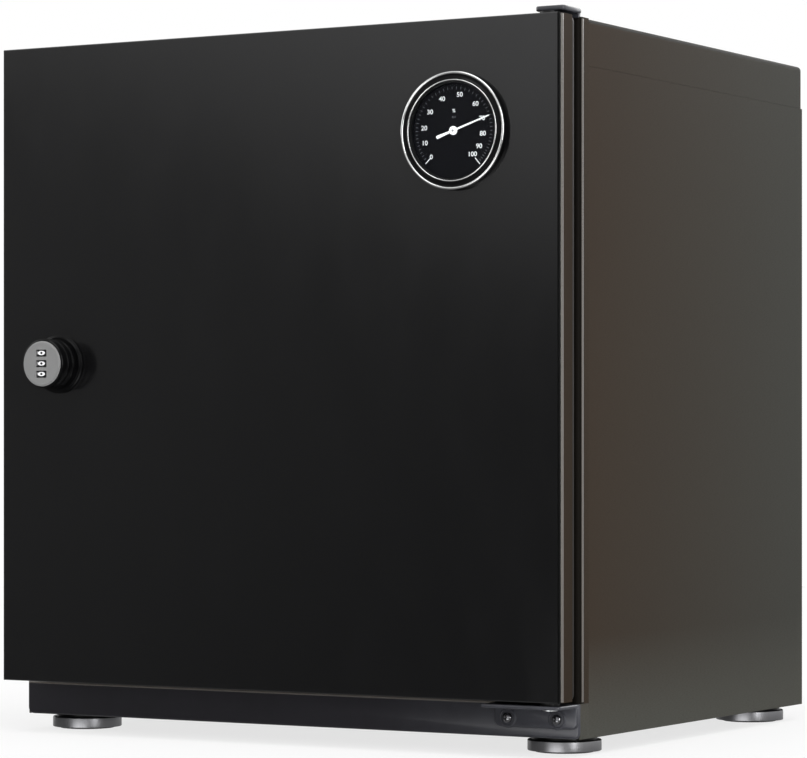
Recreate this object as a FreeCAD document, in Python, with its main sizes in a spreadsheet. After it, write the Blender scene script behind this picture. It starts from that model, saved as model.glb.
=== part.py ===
import FreeCAD, Part

# Dry cabinet: a steel cabinet with a dark glass door, a combination lock, a hygrometer in the
# door and a drying unit on its rear wall. Lengths are millimetres. The frame stands at the middle
# of the floor under the cabinet: X to the right seen from the front, Y to the rear, Z up.

import math
import os

import Sketcher
from FreeCAD import Placement, Rotation, Vector

# The sizes that can be set by themselves. Each becomes a named cell of the sheet.
SIZES = {
    # cabinet
    "cabinet_width": 400.0,
    "body_height": 425.0,
    "body_depth": 323.0,
    "foot_height": 10.0,
    "sheet_wall": 1.2,
    "panel_fit": 0.1,
    "bend_radius": 3.0,
    "frame_return": 12.0,
    "frame_rail": 26.0,
    "plinth_height": 21.0,
    "plinth_corner": 6.0,
    "cover_rim": 28.0,
    "joggle_height": 12.0,
    "pan_rim": 18.0,
    "rear_rim": 14.0,
    # feet
    "foot_radius": 22.2,
    "foot_inset_side": 25.5,
    "foot_inset_front": 30.0,
    "foot_inset_rear": 28.0,
    "foot_neck": 2.5,
    "pad_thickness": 0.9,
    "pad_inset": 4.0,
    # shelves
    "upright_depth": 24.0,
    "upright_width": 22.0,
    "upright_setback": 34.0,
    "slot_pitch": 25.0,
    "slot_height": 11.0,
    "slot_width": 4.0,
    "first_slot": 16.0,
    "shelf_side_gap": 2.5,
    "shelf_front_gap": 24.0,
    "shelf_rear_gap": 18.0,
    "shelf_lip": 14.0,
    "shelf_slot_inset": 30.0,
    "shelf_slot_width": 6.0,
    "shelf_slot_length": 30.0,
    "shelf_slot_rear": 15.0,
    "clip_thickness": 2.0,
    "clip_width": 9.0,
    "clip_reach": 11.0,
    "mat_thickness": 8.0,
    "mat_inset": 5.0,
    "mat_corner": 6.0,
    "mat_rear_gap": 50.0,
    # door
    "door_lift": 2.0,
    "glass_thickness": 4.0,
    "door_frame_depth": 13.5,
    "door_rim_depth": 3.0,
    "door_rim_corner": 4.0,
    "door_gap": 6.0,
    "arris": 0.6,
    "seal_inset": 13.0,
    "seal_width": 11.0,
    "seal_waist": 2.5,
    "seal_gap": 0.3,
    # hinges
    "pivot_inset_side": 11.5,
    "pivot_inset_front": 11.5,
    "pin_radius": 3.0,
    "pin_fit": 0.05,
    "bush_wall": 1.4,
    "bush_flange": 1.9,
    "bush_length": 10.0,
    "lip_thickness": 2.2,
    "lip_width": 50.5,
    "lip_front": 1.0,
    "leg_width": 56.0,
    "leg_drop": 14.0,
    "bracket_thickness": 2.5,
    "leg_corner": 5.0,
    "screw_pitch": 33.0,
    "screw_drop": 9.5,
    "hinge_screw_radius": 2.0,
    "boss_radius": 5.6,
    "boss_height": 0.5,
    "screw_head_radius": 3.4,
    "screw_head_height": 2.2,
    "screw_length": 8.0,
    "upper_plate_width": 16.7,
    "upper_plate_front": 7.0,
    "upper_plate_lift": 1.9,
    "upper_plate_thickness": 3.0,
    "upper_leg_drop": 38.0,
    # combination lock
    "lock_inset": 44.5,
    "lock_reach": 20.0,
    "lock_face_radius": 14.2,
    "lock_barrel_radius": 15.5,
    "lock_flange_radius": 18.4,
    "lock_flange_thickness": 3.0,
    "lock_sleeve_radius": 9.5,
    "lock_sleeve_length": 31.0,
    "lock_spindle_radius": 7.0,
    "lock_face_thickness": 1.2,
    "lock_fit": 0.05,
    "window_width": 8.2,
    "window_height": 4.4,
    "wheel_pitch": 6.6,
    "wheel_radius": 7.2,
    "wheel_gap": 2.6,
    "wheel_recess": 0.3,
    "axle_radius": 1.5,
    "cam_setback": 13.5,
    "cam_thickness": 2.0,
    "cam_width": 16.0,
    "cam_reach": 30.0,
    "strike_height": 41.0,
    "nut_across_flats": 25.0,
    "nut_thickness": 5.0,
    # hygrometer
    "meter_inset_side": 68.5,
    "meter_inset_top": 66.3,
    "bezel_radius": 35.1,
    "bezel_proud": 5.0,
    "meter_bore": 29.7,
    "meter_fit": 0.1,
    "meter_depth": 24.0,
    "meter_wall": 1.2,
    "lens_thickness": 1.0,
    "dial_depth": -2.0,
    "dial_thickness": 0.6,
    "pointer_length": 25.7,
    "pointer_tail": 11.9,
    "pointer_hub": 2.5,
    "pointer_angle": 71.5,
    "arbor_radius": 0.7,
    "coil_pitch": 2.3,
    "coil_width": 5.0,
    "coil_strip": 0.5,
    "clamp_height": 4.0,
    "clamp_width": 2.6,
    # drying unit
    "unit_width": 160.0,
    "unit_height": 106.0,
    "unit_depth": 42.0,
    "unit_wall": 2.0,
    "unit_lift": 2.0,
    "port_width": 88.0,
    "port_height": 30.0,
    "port_drop": 6.0,
    "collar_wall": 2.0,
    "shutter_width": 96.0,
    "shutter_length": 40.0,
    "shutter_thickness": 2.0,
    "shutter_drop": 14.0,
    "shutter_inset": 6.0,
    "shutter_travel": 35.0,
    "shaft_radius": 2.0,
    "crank_radius": 8.0,
    "crank_pin": 1.2,
    "chamber_half": 59.0,
    "pack_height": 36.0,
    "knob_radius": 8.0,
    "knob_height": 8.0,
    "knob_offset": 69.0,
    "knob_drop": 12.0,
    "lamp_drop": 40.0,
    "lamp_radius": 2.5,
    "inlet_radius": 6.0,
    "inlet_height": 18.0,
    "vent_width": 124.0,
    "vent_height": 54.0,
    "vent_depth": 12.0,
    "spring_radius": 2.2,
    "spring_wire": 0.4,
    "spring_pitch": 2.6,
}

document = FreeCAD.newDocument("DryCabinet")


def make_sheet(sizes):
    """Fills the sheet of driving sizes: a name, its value and the value's alias in each row."""
    table = document.addObject("Spreadsheet::Sheet", "Sizes")
    for row, (name, value) in enumerate(sizes.items(), start=1):
        table.set(f"A{row}", name)
        table.set(f"B{row}", str(value))
        table.setAlias(f"B{row}", name)
    document.recompute()
    return table


sheet = make_sheet(SIZES)


class Length:
    """A length as the formula that the document works out, with its present value."""

    def __init__(self, formula, value):
        self.formula = formula
        self.value = value

    def __add__(self, other):
        other = length(other)
        return Length(f"({self.formula} + {other.formula})", self.value + other.value)

    def __radd__(self, other):
        return length(other) + self

    def __sub__(self, other):
        other = length(other)
        return Length(f"({self.formula} - {other.formula})", self.value - other.value)

    def __rsub__(self, other):
        return length(other) - self

    def __mul__(self, other):
        other = length(other)
        return Length(f"({self.formula} * {other.formula})", self.value * other.value)

    def __rmul__(self, other):
        return length(other) * self

    def __truediv__(self, other):
        other = length(other)
        return Length(f"({self.formula} / {other.formula})", self.value / other.value)

    def __neg__(self):
        return Length(f"(0 - {self.formula})", -self.value)


def length(number):
    """Returns a plain number as a length, and a length as it is."""
    if isinstance(number, Length):
        return number
    return Length(f"({number})", float(number))


class SheetSizes:
    """Gives each named cell of the sheet as a length."""

    def __getattr__(self, name):
        return Length(f"Sizes.{name}", float(getattr(sheet, name)))


size = SheetSizes()

# Where the main planes lie, worked out from the driving sizes.
half = size.cabinet_width / 2
wall = size.sheet_wall
fit = size.panel_fit
door_thickness = size.glass_thickness + size.door_frame_depth + size.door_rim_depth
overall_depth = size.lock_reach + door_thickness + size.door_gap + size.body_depth + size.vent_depth
door_front = size.lock_reach - overall_depth / 2
glass_back = door_front + size.glass_thickness
door_frame_back = glass_back + size.door_frame_depth
door_back = door_front + door_thickness
body_front = door_back + size.door_gap
body_back = body_front + size.body_depth
base = size.foot_height
top = base + size.body_height
plinth_top = base + size.plinth_height
door_bottom = plinth_top + size.door_lift
door_height = top - door_bottom
opening_half = half - size.frame_rail
opening_top = top - size.frame_rail
opening_bottom = door_bottom + size.frame_rail
skin_back = body_front + wall
return_back = body_front + size.frame_return
side_inside = half - wall
pan_floor = base + wall
floor_top = opening_bottom + 1
lip_top = door_bottom - size.bush_flange - size.pin_fit
lip_low = lip_top - size.lip_thickness
plate_low = top + size.upper_plate_lift
plate_top = plate_low + size.upper_plate_thickness
pivot_x = half - size.pivot_inset_side
pivot_y = door_front + size.pivot_inset_front
lock_x = size.lock_inset - half
lock_z = door_bottom + door_height / 2
meter_x = half - size.meter_inset_side
meter_z = top - size.meter_inset_top
shelf_half = half - wall - size.upright_depth - size.shelf_side_gap
unit_back = body_back - wall
unit_front = unit_back - size.unit_depth
unit_bottom = floor_top + size.unit_lift
unit_top = unit_bottom + size.unit_height
shutter_z = unit_top - size.shutter_drop
port_top = shutter_z - size.port_drop
port_bottom = port_top - size.port_height
collar_length = size.shutter_inset - size.shutter_thickness / 2 - size.seal_gap
inner_axis_y = unit_front + size.shutter_inset
outer_axis_y = unit_back - size.unit_wall - size.shutter_inset
crank_lean = math.radians(size.shutter_travel.value / 2)
lean_sine = round(math.sin(crank_lean), 9)
lean_cosine = round(math.cos(crank_lean), 9)

# How far past a face a cut runs, so that it leaves no skin.
CUT_THROUGH = 1


class Piece:
    """One sub-part: a body whose sketches lie on its own origin planes.

    A sketch on XY is drawn in X and Y, on XZ in X and Z, and on YZ in Y and Z. Pads and pockets
    run towards the plus side of the third axis, or towards its minus side with back=True.
    """

    NORMAL = {"XY": 1, "XZ": -1, "YZ": 1}

    def __init__(self, name):
        self.name = name
        self.count = 0
        self.plane = {}
        self.body = document.addObject("PartDesign::Body", name)
        self.body.Label = name

    def feature_name(self, kind):
        """Returns a name that no other feature of the document has."""
        self.count += 1
        return f"{self.name}_{kind}_{self.count}"

    def sketch(self, plane, at=0):
        """Adds a sketch on an origin plane, moved to the place at on the plane's axis."""
        sketch = self.body.newObject("Sketcher::SketchObject", self.feature_name("sketch"))
        for feature in self.body.Origin.OriginFeatures:
            if feature.Role == f"{plane}_Plane":
                sketch.AttachmentSupport = [(feature, "")]
        sketch.MapMode = "FlatFace"
        offset = length(at) * self.NORMAL[plane]
        sketch.setExpression("AttachmentOffset.Base.z", offset.formula)
        self.plane[sketch.Name] = plane
        return sketch

    def pad(self, sketch, depth, back=False):
        """Adds material from the sketch along its axis."""
        pad = self.body.newObject("PartDesign::Pad", self.feature_name("pad"))
        pad.Profile = sketch
        pad.setExpression("Length", length(depth).formula)
        pad.Reversed = (self.NORMAL[self.plane[sketch.Name]] < 0) != back
        return pad

    def pocket(self, sketch, depth, back=False):
        """Takes material away from the sketch along its axis."""
        pocket = self.body.newObject("PartDesign::Pocket", self.feature_name("pocket"))
        pocket.Profile = sketch
        pocket.Type = "Length"
        pocket.setExpression("Length", length(depth).formula)
        pocket.Reversed = (self.NORMAL[self.plane[sketch.Name]] > 0) != back
        return pocket

    def turn(self, axis, profile):
        """Turns a profile, drawn as radius and height, once round the body's axis."""
        sketch = self.sketch({"X": "XY", "Y": "XY", "Z": "XZ"}[axis])
        if axis == "X":
            profile = [(height, radius) for radius, height in profile]
        outline(sketch, profile)
        turned = self.body.newObject("PartDesign::Revolution", self.feature_name("turn"))
        turned.Profile = sketch
        turned.ReferenceAxis = (sketch, ["H_Axis" if axis == "X" else "V_Axis"])
        turned.Angle = 360
        return turned

    def fillet(self, radius, chosen, kind="Fillet"):
        """Rounds, or bevels, the edges for which chosen(middle, direction) is true."""
        document.recompute()
        base_feature = self.body.Tip
        names = []
        for number, edge in enumerate(base_feature.Shape.Edges, start=1):
            if edge.Curve.TypeId != "Part::GeomLine" or edge.Length < 1e-6:
                continue
            ends = edge.Vertexes[0].Point, edge.Vertexes[-1].Point
            middle = (ends[0] + ends[1]) / 2
            along = (ends[1] - ends[0]) / edge.Length
            if chosen(middle, along):
                names.append(f"Edge{number}")
        finish = self.body.newObject(f"PartDesign::{kind}", self.feature_name("edge"))
        finish.Base = (base_feature, names)
        finish.setExpression("Radius" if kind == "Fillet" else "Size", length(radius).formula)
        return finish

    def row(self, original, sketch, axis, run, copies):
        """Repeats a feature evenly along an axis of its sketch, over the run."""
        pattern = self.body.newObject("PartDesign::LinearPattern", self.feature_name("row"))
        pattern.Originals = [original]
        pattern.Direction = (sketch, [axis])
        pattern.setExpression("Length", length(run).formula)
        pattern.Occurrences = copies
        self.body.Tip = pattern
        return pattern

    def ring(self, original, sketch, copies):
        """Repeats a feature evenly round the normal of its sketch."""
        pattern = self.body.newObject("PartDesign::PolarPattern", self.feature_name("ring"))
        pattern.Originals = [original]
        pattern.Axis = (sketch, ["N_Axis"])
        pattern.Angle = 360
        pattern.Occurrences = copies
        self.body.Tip = pattern
        return pattern

    def place(self, x=0, y=0, z=0, rotation=None):
        """Moves the piece to its seat, after any turn about its own origin."""
        if rotation is not None:
            self.body.Placement = Placement(Vector(0, 0, 0), rotation)
        for axis, position in (("x", x), ("y", y), ("z", z)):
            self.body.setExpression(f"Placement.Base.{axis}", length(position).formula)


def outline(sketch, corners):
    """Draws a closed outline through corners given as (across, up) or (across, up, radius).

    A corner with a radius joins two edges that run along the sketch's axes.
    """
    corners = [tuple(length(part) for part in corner) for corner in corners]
    points = []
    arcs = {}
    for number, corner in enumerate(corners):
        if len(corner) == 2:
            points.append(corner)
            continue
        across, up, radius = corner
        arcs[len(points)] = radius
        for neighbour in (corners[number - 1], corners[(number + 1) % len(corners)]):
            run = neighbour[0].value - across.value
            rise = neighbour[1].value - up.value
            if abs(run) > abs(rise):
                points.append((across + radius * math.copysign(1, run), up))
            else:
                points.append((across, up + radius * math.copysign(1, rise)))
    first = sketch.GeometryCount
    total = len(points)
    for number, start in enumerate(points):
        end = points[(number + 1) % total]
        here = Vector(start[0].value, start[1].value, 0)
        there = Vector(end[0].value, end[1].value, 0)
        if number in arcs:
            sketch.addGeometry(corner_arc(points, number), False)
        else:
            sketch.addGeometry(Part.LineSegment(here, there), False)
    ends = [line_ends(sketch, first + number, points[number]) for number in range(total)]
    for number in range(total):
        following = (number + 1) % total
        joint = ("Coincident", first + number, ends[number][1], first + following, ends[following][0])
        sketch.addConstraint(Sketcher.Constraint(*joint))
        fix_point(sketch, first + number, ends[number][0], points[number])
    for number, radius in arcs.items():
        index = sketch.addConstraint(Sketcher.Constraint("Radius", first + number, radius.value))
        sketch.setExpression(f"Constraints[{index}]", radius.formula)


def corner_arc(points, number):
    """Returns the quarter arc from a point to the next, bulging away from its neighbours."""
    following = (number + 1) % len(points)
    places = [points[index] for index in (number, following, number - 1)]
    start, end, before = (Vector(across.value, up.value, 0) for across, up in places)
    chord = end - start
    heading = (start - before).normalize()
    corner = start + heading * heading.dot(chord)
    middle = (start + end) / 2
    centre = start + end - corner
    radius = (start - centre).Length
    bulge = centre + (middle - centre).normalize() * radius
    return Part.Arc(start, bulge, end)


def line_ends(sketch, index, start):
    """Returns the numbers of a line's or arc's first and last point, in drawing order."""
    geometry = sketch.Geometry[index]
    here = Vector(start[0].value, start[1].value, 0)
    if geometry.StartPoint.distanceToPoint(here) < geometry.EndPoint.distanceToPoint(here):
        return 1, 2
    return 2, 1


def fix_point(sketch, index, point, place):
    """Ties a point to its place across and up from the sketch's origin."""
    for kind, distance in zip(("DistanceX", "DistanceY"), place):
        constraint = Sketcher.Constraint(kind, -1, 1, index, point, distance.value)
        number = sketch.addConstraint(constraint)
        sketch.setExpression(f"Constraints[{number}]", distance.formula)


def rectangle(sketch, left, right, low, high, corner=None):
    """Draws a rectangle, with round corners where a radius is given."""
    corners = [(left, low), (right, low), (right, high), (left, high)]
    if corner is not None:
        corners = [(*place, corner) for place in corners]
    outline(sketch, corners)


def circle(sketch, across, up, radius):
    """Draws a circle about a point of the sketch."""
    across, up, radius = length(across), length(up), length(radius)
    middle = Vector(across.value, up.value, 0)
    index = sketch.addGeometry(Part.Circle(middle, Vector(0, 0, 1), radius.value), False)
    number = sketch.addConstraint(Sketcher.Constraint("Radius", index, radius.value))
    sketch.setExpression(f"Constraints[{number}]", radius.formula)
    fix_point(sketch, index, 3, (across, up))


def block(name, x, y, z, corner=None):
    """Returns a piece padded up from a rectangle in X and Y, each range given as (low, high)."""
    piece = Piece(name)
    sketch = piece.sketch("XY", z[0])
    rectangle(sketch, *x, *y, corner)
    piece.pad(sketch, z[1] - z[0])
    return piece


def group(name, shapes):
    """Returns a sub-part made of separate solids of one kind."""
    feature = document.addObject("Part::Feature", name)
    feature.Label = name
    feature.Shape = Part.makeCompound(shapes)
    feature.Placement = Placement(Vector(0, 0, 0), Rotation())
    return feature


def round_bar(radius, start, end):
    """Returns a solid bar from one point to another."""
    return Part.makeCylinder(radius, (end - start).Length, start, end - start)


def sorted_pair(first, second):
    """Returns two lengths with the smaller one first."""
    return (first, second) if first.value < second.value else (second, first)


# Cabinet shell


def make_front_frame():
    """Face frame: a ring of channel section that the seal closes on."""
    frame = Piece("front_frame")
    ring = frame.sketch("XZ", body_front)
    rectangle(ring, -half, half, plinth_top, top)
    frame.pad(ring, size.frame_return)
    front = body_front.value
    frame.fillet(size.bend_radius, lambda middle, along: abs(middle.y - front) < 0.01 and middle.z > 40)
    hole = frame.sketch("XZ", body_front - CUT_THROUGH)
    rectangle(hole, -opening_half, opening_half, opening_bottom, opening_top, size.bend_radius)
    frame.pocket(hole, size.frame_return + 2 * CUT_THROUGH)
    channel = frame.sketch("XZ", return_back)
    rectangle(channel, wall - half, half - wall, plinth_top + wall, top - wall)
    rectangle(
        channel, -opening_half - wall, opening_half + wall, opening_bottom - wall, opening_top + wall
    )
    frame.pocket(channel, size.frame_return - wall, back=True)
    notch = frame.sketch("XY", top + CUT_THROUGH)
    notch_left = half - size.upper_plate_width - fit
    leg_back = skin_back + size.upper_plate_thickness + fit
    rectangle(notch, notch_left, half - wall, skin_back, leg_back)
    frame.pocket(notch, wall + 2 * CUT_THROUGH, back=True)


def make_plinth():
    """Front plinth: a shallow channel under the door, with its lower corners rounded."""
    plinth = Piece("plinth_front")
    face = plinth.sketch("XZ", body_front)
    corner = size.plinth_corner
    outline(face, [(-half, base, corner), (half, base, corner), (half, plinth_top), (-half, plinth_top)])
    plinth.pad(face, size.frame_return)
    inside = plinth.sketch("XZ", return_back)
    rectangle(inside, wall - half, half - wall, base + wall, plinth_top - wall)
    plinth.pocket(inside, size.frame_return - wall, back=True)
    cut_screw_holes(plinth, body_front - CUT_THROUGH, wall + 2 * CUT_THROUGH)


def make_side_panel(name, side):
    """Side panel: a folded sheet with a joggle that the top cover's rim hides."""
    panel = Piece(name)
    profile = panel.sketch("XZ", return_back)
    shoulder = top - size.cover_rim - fit
    step = wall + fit
    corners = [
        (half, base),
        (half, shoulder),
        (half - step, shoulder),
        (half - step, shoulder + size.joggle_height),
        (half - step - wall, shoulder + size.joggle_height),
        (half - step - wall, shoulder - wall),
        (half - wall, shoulder - wall),
        (half - wall, base),
    ]
    outline(profile, [(across * side, up) for across, up in corners])
    panel.pad(profile, body_back - return_back)
    rear_end = panel.sketch("XZ", body_back - wall - fit)
    inner_edge = half - step - wall - CUT_THROUGH
    rectangle(rear_end, *sorted_pair(side * half, side * inner_edge), shoulder, top)
    panel.pocket(rear_end, wall + fit + CUT_THROUGH)


def make_top_cover():
    """Top cover: a tray turned over, with a rim down its sides and rear."""
    cover = Piece("top_cover")
    sheet_face = cover.sketch("XZ", return_back)
    rectangle(sheet_face, -half, half, top - size.cover_rim, top)
    cover.pad(sheet_face, body_back - return_back)
    across = half.value
    rear = body_back.value
    upper = top.value

    def outer_bends(middle, along):
        on_side = abs(abs(middle.x) - across) < 0.01 and abs(middle.z - upper) < 0.01
        on_rear = abs(middle.y - rear) < 0.01 and (abs(middle.z - upper) < 0.01 or abs(along.z) > 0.9)
        return on_side and abs(along.y) > 0.9 or on_rear

    cover.fillet(size.bend_radius, outer_bends)
    inside = cover.sketch("XZ", return_back)
    rectangle(inside, wall - half, half - wall, top - size.cover_rim - CUT_THROUGH, top - wall)
    cover.pocket(inside, body_back - return_back - wall)


def make_base_pan():
    """Base pan: the floor sheet that the feet are screwed to, with its sides turned up."""
    pan = Piece("base_pan")
    profile = pan.sketch("XZ", return_back)
    outside = side_inside - fit
    corners = [
        (-outside, base),
        (outside, base),
        (outside, base + size.pan_rim),
        (outside - wall, base + size.pan_rim),
        (outside - wall, pan_floor),
        (wall - outside, pan_floor),
        (wall - outside, base + size.pan_rim),
        (-outside, base + size.pan_rim),
    ]
    outline(profile, corners)
    pan.pad(profile, body_back - return_back)


def make_interior_floor():
    """Interior floor: a sheet table that stands on the base pan."""
    outside = side_inside - wall - 2 * fit
    floor = Piece("interior_floor")
    profile = floor.sketch("XZ", return_back + fit)
    corners = [
        (-outside, pan_floor),
        (wall - outside, pan_floor),
        (wall - outside, floor_top - wall),
        (outside - wall, floor_top - wall),
        (outside - wall, pan_floor),
        (outside, pan_floor),
        (outside, floor_top),
        (-outside, floor_top),
    ]
    outline(profile, corners)
    floor.pad(profile, body_back - wall - size.rear_rim - fit - return_back - fit)


def make_rear_panel():
    """Rear panel: a shallow tray with the outer air port and the power inlet's hole."""
    outside = side_inside - wall - 2 * fit
    panel = Piece("rear_panel")
    face = panel.sketch("XZ", body_back)
    rectangle(face, -outside, outside, pan_floor, top - size.cover_rim - fit)
    panel.pad(face, wall + size.rear_rim, back=True)
    inside = panel.sketch("XZ", body_back - wall)
    rectangle(inside, wall - outside, outside - wall, pan_floor + wall, top - size.cover_rim - fit - wall)
    panel.pocket(inside, size.rear_rim + CUT_THROUGH, back=True)
    openings = panel.sketch("XZ", body_back - wall - CUT_THROUGH)
    rectangle(openings, size.port_width / -2, size.port_width / 2, port_bottom, port_top)
    circle(openings, size.knob_offset, unit_bottom + size.inlet_height, size.inlet_radius - 1)
    panel.pocket(openings, wall + 2 * CUT_THROUGH)


FOOT_PLACES = [
    (side * (half - size.foot_inset_side), along)
    for along in (body_front + size.foot_inset_front, body_back - size.foot_inset_rear)
    for side in (-1, 1)
]


def foot_discs(piece, low, high, radius):
    """Adds a disc of the radius at each foot's place."""
    discs = piece.sketch("XY", low)
    for across, along in FOOT_PLACES:
        circle(discs, across, along, radius)
    piece.pad(discs, high - low)


def make_feet():
    """Feet: four round blocks, each with a narrower neck under the base pan."""
    feet = Piece("feet")
    shoulder = size.foot_height - size.foot_neck
    foot_discs(feet, size.pad_thickness, shoulder, size.foot_radius)
    foot_discs(feet, shoulder, size.foot_height, size.foot_radius - size.foot_neck)


def make_foot_pads():
    """Rubber pads: one disc under each foot."""
    foot_discs(Piece("foot_pads"), length(0), size.pad_thickness, size.foot_radius - size.pad_inset)


# Shelves


UPRIGHT_MIDDLES = (
    return_back + size.upright_setback,
    body_back - wall - size.rear_rim - size.upright_setback,
)
upright_top = top - size.cover_rim - wall - 4
UPRIGHT_SLOTS = 12


def make_uprights(name, side):
    """Slotted uprights of one side: hat channels with a row of slots for the shelf clips."""
    uprights = Piece(name)
    outer = side_inside
    inner = side_inside - size.upright_depth
    span = size.upright_width / 2
    for middle in UPRIGHT_MIDDLES:
        section = uprights.sketch("XY", floor_top)
        corners = [
            (outer * side, middle - span),
            (inner * side, middle - span),
            (inner * side, middle + span),
            (outer * side, middle + span),
            (outer * side, middle + span - wall),
            ((inner + wall) * side, middle + span - wall),
            ((inner + wall) * side, middle - span + wall),
            (outer * side, middle - span + wall),
        ]
        outline(section, corners)
        uprights.pad(section, upright_top - floor_top)
    slot = uprights.sketch("YZ", inner * side)
    low = floor_top + size.first_slot
    reach = size.slot_width / 2
    for middle in UPRIGHT_MIDDLES:
        rectangle(slot, middle - reach, middle + reach, low, low + size.slot_height)
    cut = uprights.pocket(slot, wall * 2, back=side < 0)
    uprights.row(cut, slot, "V_Axis", size.slot_pitch * (UPRIGHT_SLOTS - 1), UPRIGHT_SLOTS)


SHELF_STEPS = {"lower": 4, "upper": 8}
SHELF_SLOTS = 9


def shelf_underside(level):
    """Returns the height of the clips' tops that carry a shelf."""
    return floor_top + size.first_slot + size.slot_pitch * SHELF_STEPS[level] + size.clip_thickness


def make_shelf(level):
    """Shelf: a sheet tray turned over, with a row of air slots at its rear."""
    low = shelf_underside(level)
    high = low + size.shelf_lip
    front = body_front + size.shelf_front_gap
    back = body_back - wall - size.shelf_rear_gap
    shelf = block(f"shelf_{level}", (-shelf_half, shelf_half), (front, back), (low, high), size.bend_radius)
    inside = shelf.sketch("XY", low)
    rectangle(inside, wall - shelf_half, shelf_half - wall, front + wall, back - wall)
    shelf.pocket(inside, size.shelf_lip - wall)
    slot = shelf.sketch("XY", high - 2 * wall)
    left = size.shelf_slot_inset - shelf_half
    slot_back = back - size.shelf_slot_rear
    rectangle(slot, left, left + size.shelf_slot_width, slot_back - size.shelf_slot_length, slot_back)
    cut = shelf.pocket(slot, 3 * wall)
    run = 2 * (shelf_half - size.shelf_slot_inset) - size.shelf_slot_width
    shelf.row(cut, slot, "H_Axis", run, SHELF_SLOTS)


def make_shelf_clips():
    """Shelf clips: small angles hooked into the uprights' slots, four to a shelf."""
    thick = size.clip_thickness.value
    width = size.clip_width.value
    reach = size.clip_reach.value
    web = (side_inside - size.upright_depth).value
    clips = []
    for level in SHELF_STEPS:
        ledge = shelf_underside(level).value
        for side, middle in ((side, middle) for side in (-1, 1) for middle in UPRIGHT_MIDDLES):
            corner = Vector(web - reach, middle.value - width / 2, ledge - thick)
            tab = Part.makeBox(reach, width, thick, corner)
            hook_width = size.slot_width.value - 2 * fit.value
            corner = Vector(web, middle.value - hook_width / 2, ledge - thick)
            hook = Part.makeBox(3 * wall.value, hook_width, thick, corner)
            clip = tab.fuse(hook)
            if side < 0:
                clip = clip.mirror(Vector(0, 0, 0), Vector(1, 0, 0))
            clips.append(clip)
    group("shelf_clips", clips)


def make_mats(name, lows, back):
    """Foam mats: soft slabs that lie on the shelves or on the floor."""
    mats = Piece(name)
    reach = shelf_half - size.mat_inset
    front = body_front + size.shelf_front_gap + size.mat_inset
    for low in lows:
        slab = mats.sketch("XY", low)
        rectangle(slab, -reach, reach, front, back - size.mat_inset, size.mat_corner)
        mats.pad(slab, size.mat_thickness)


# Door


def make_door_glass():
    """Door glass: a full pane with ground edges and two round holes."""
    glass = Piece("door_glass")
    pane = glass.sketch("XZ", door_front)
    rectangle(pane, -half, half, door_bottom, top)
    glass.pad(pane, size.glass_thickness)
    front = door_front.value
    glass.fillet(size.arris, lambda middle, along: abs(middle.y - front) < 0.01, kind="Chamfer")
    holes = glass.sketch("XZ", door_front - CUT_THROUGH)
    circle(holes, lock_x, lock_z, size.lock_sleeve_radius + fit)
    circle(holes, meter_x, meter_z, size.meter_bore)
    glass.pocket(holes, size.glass_thickness + 2 * CUT_THROUGH)


def make_door_frame():
    """Door frame: a ring of channel section behind the glass, bored for the hinge bushes."""
    frame = Piece("door_frame")
    ring = frame.sketch("XZ", glass_back)
    rectangle(ring, -half, half, door_bottom, top)
    rectangle(ring, -opening_half, opening_half, opening_bottom, opening_top, size.bend_radius)
    frame.pad(ring, size.door_frame_depth)
    channel = frame.sketch("XZ", door_frame_back)
    rectangle(channel, wall - half, half - wall, door_bottom + wall, top - wall)
    inner = opening_half + wall
    rectangle(channel, -inner, inner, opening_bottom - wall, opening_top + wall)
    frame.pocket(channel, size.door_frame_depth - wall, back=True)
    bores = frame.sketch("XY", door_bottom - CUT_THROUGH)
    circle(bores, pivot_x, pivot_y, size.pin_radius + size.bush_wall + size.pin_fit)
    frame.pocket(bores, door_height + 2 * CUT_THROUGH)


def make_door_rim():
    """Door rim: the rear trim of the door, with rounded corners, that holds the seal."""
    rim = Piece("door_rim")
    ring = rim.sketch("XZ", door_frame_back)
    rectangle(ring, -half, half, door_bottom, top, size.door_rim_corner)
    rectangle(ring, -opening_half, opening_half, opening_bottom, opening_top, size.bend_radius)
    rim.pad(ring, size.door_rim_depth)


def make_door_seal():
    """Door seal: a soft ring with a narrow waist between its foot and its magnet head."""
    seal = Piece("door_seal")
    head = 2.0
    depth = size.door_gap - size.seal_gap
    layers = (
        (door_back, 1.5, length(0)),
        (door_back + 1.5, depth - 1.5 - head, size.seal_waist),
        (door_back + depth - head, head, length(0.5)),
    )
    for start, thickness, narrower in layers:
        ring = seal.sketch("XZ", start)
        outer = size.seal_inset + narrower
        inner = size.seal_inset + size.seal_width - narrower
        for inset, corner in ((outer, 6), (inner, None)):
            rectangle(ring, inset - half, half - inset, door_bottom + inset, top - inset, corner)
        seal.pad(ring, thickness)


# Hinges

boss_front = body_front - size.bracket_thickness - size.boss_height


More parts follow.
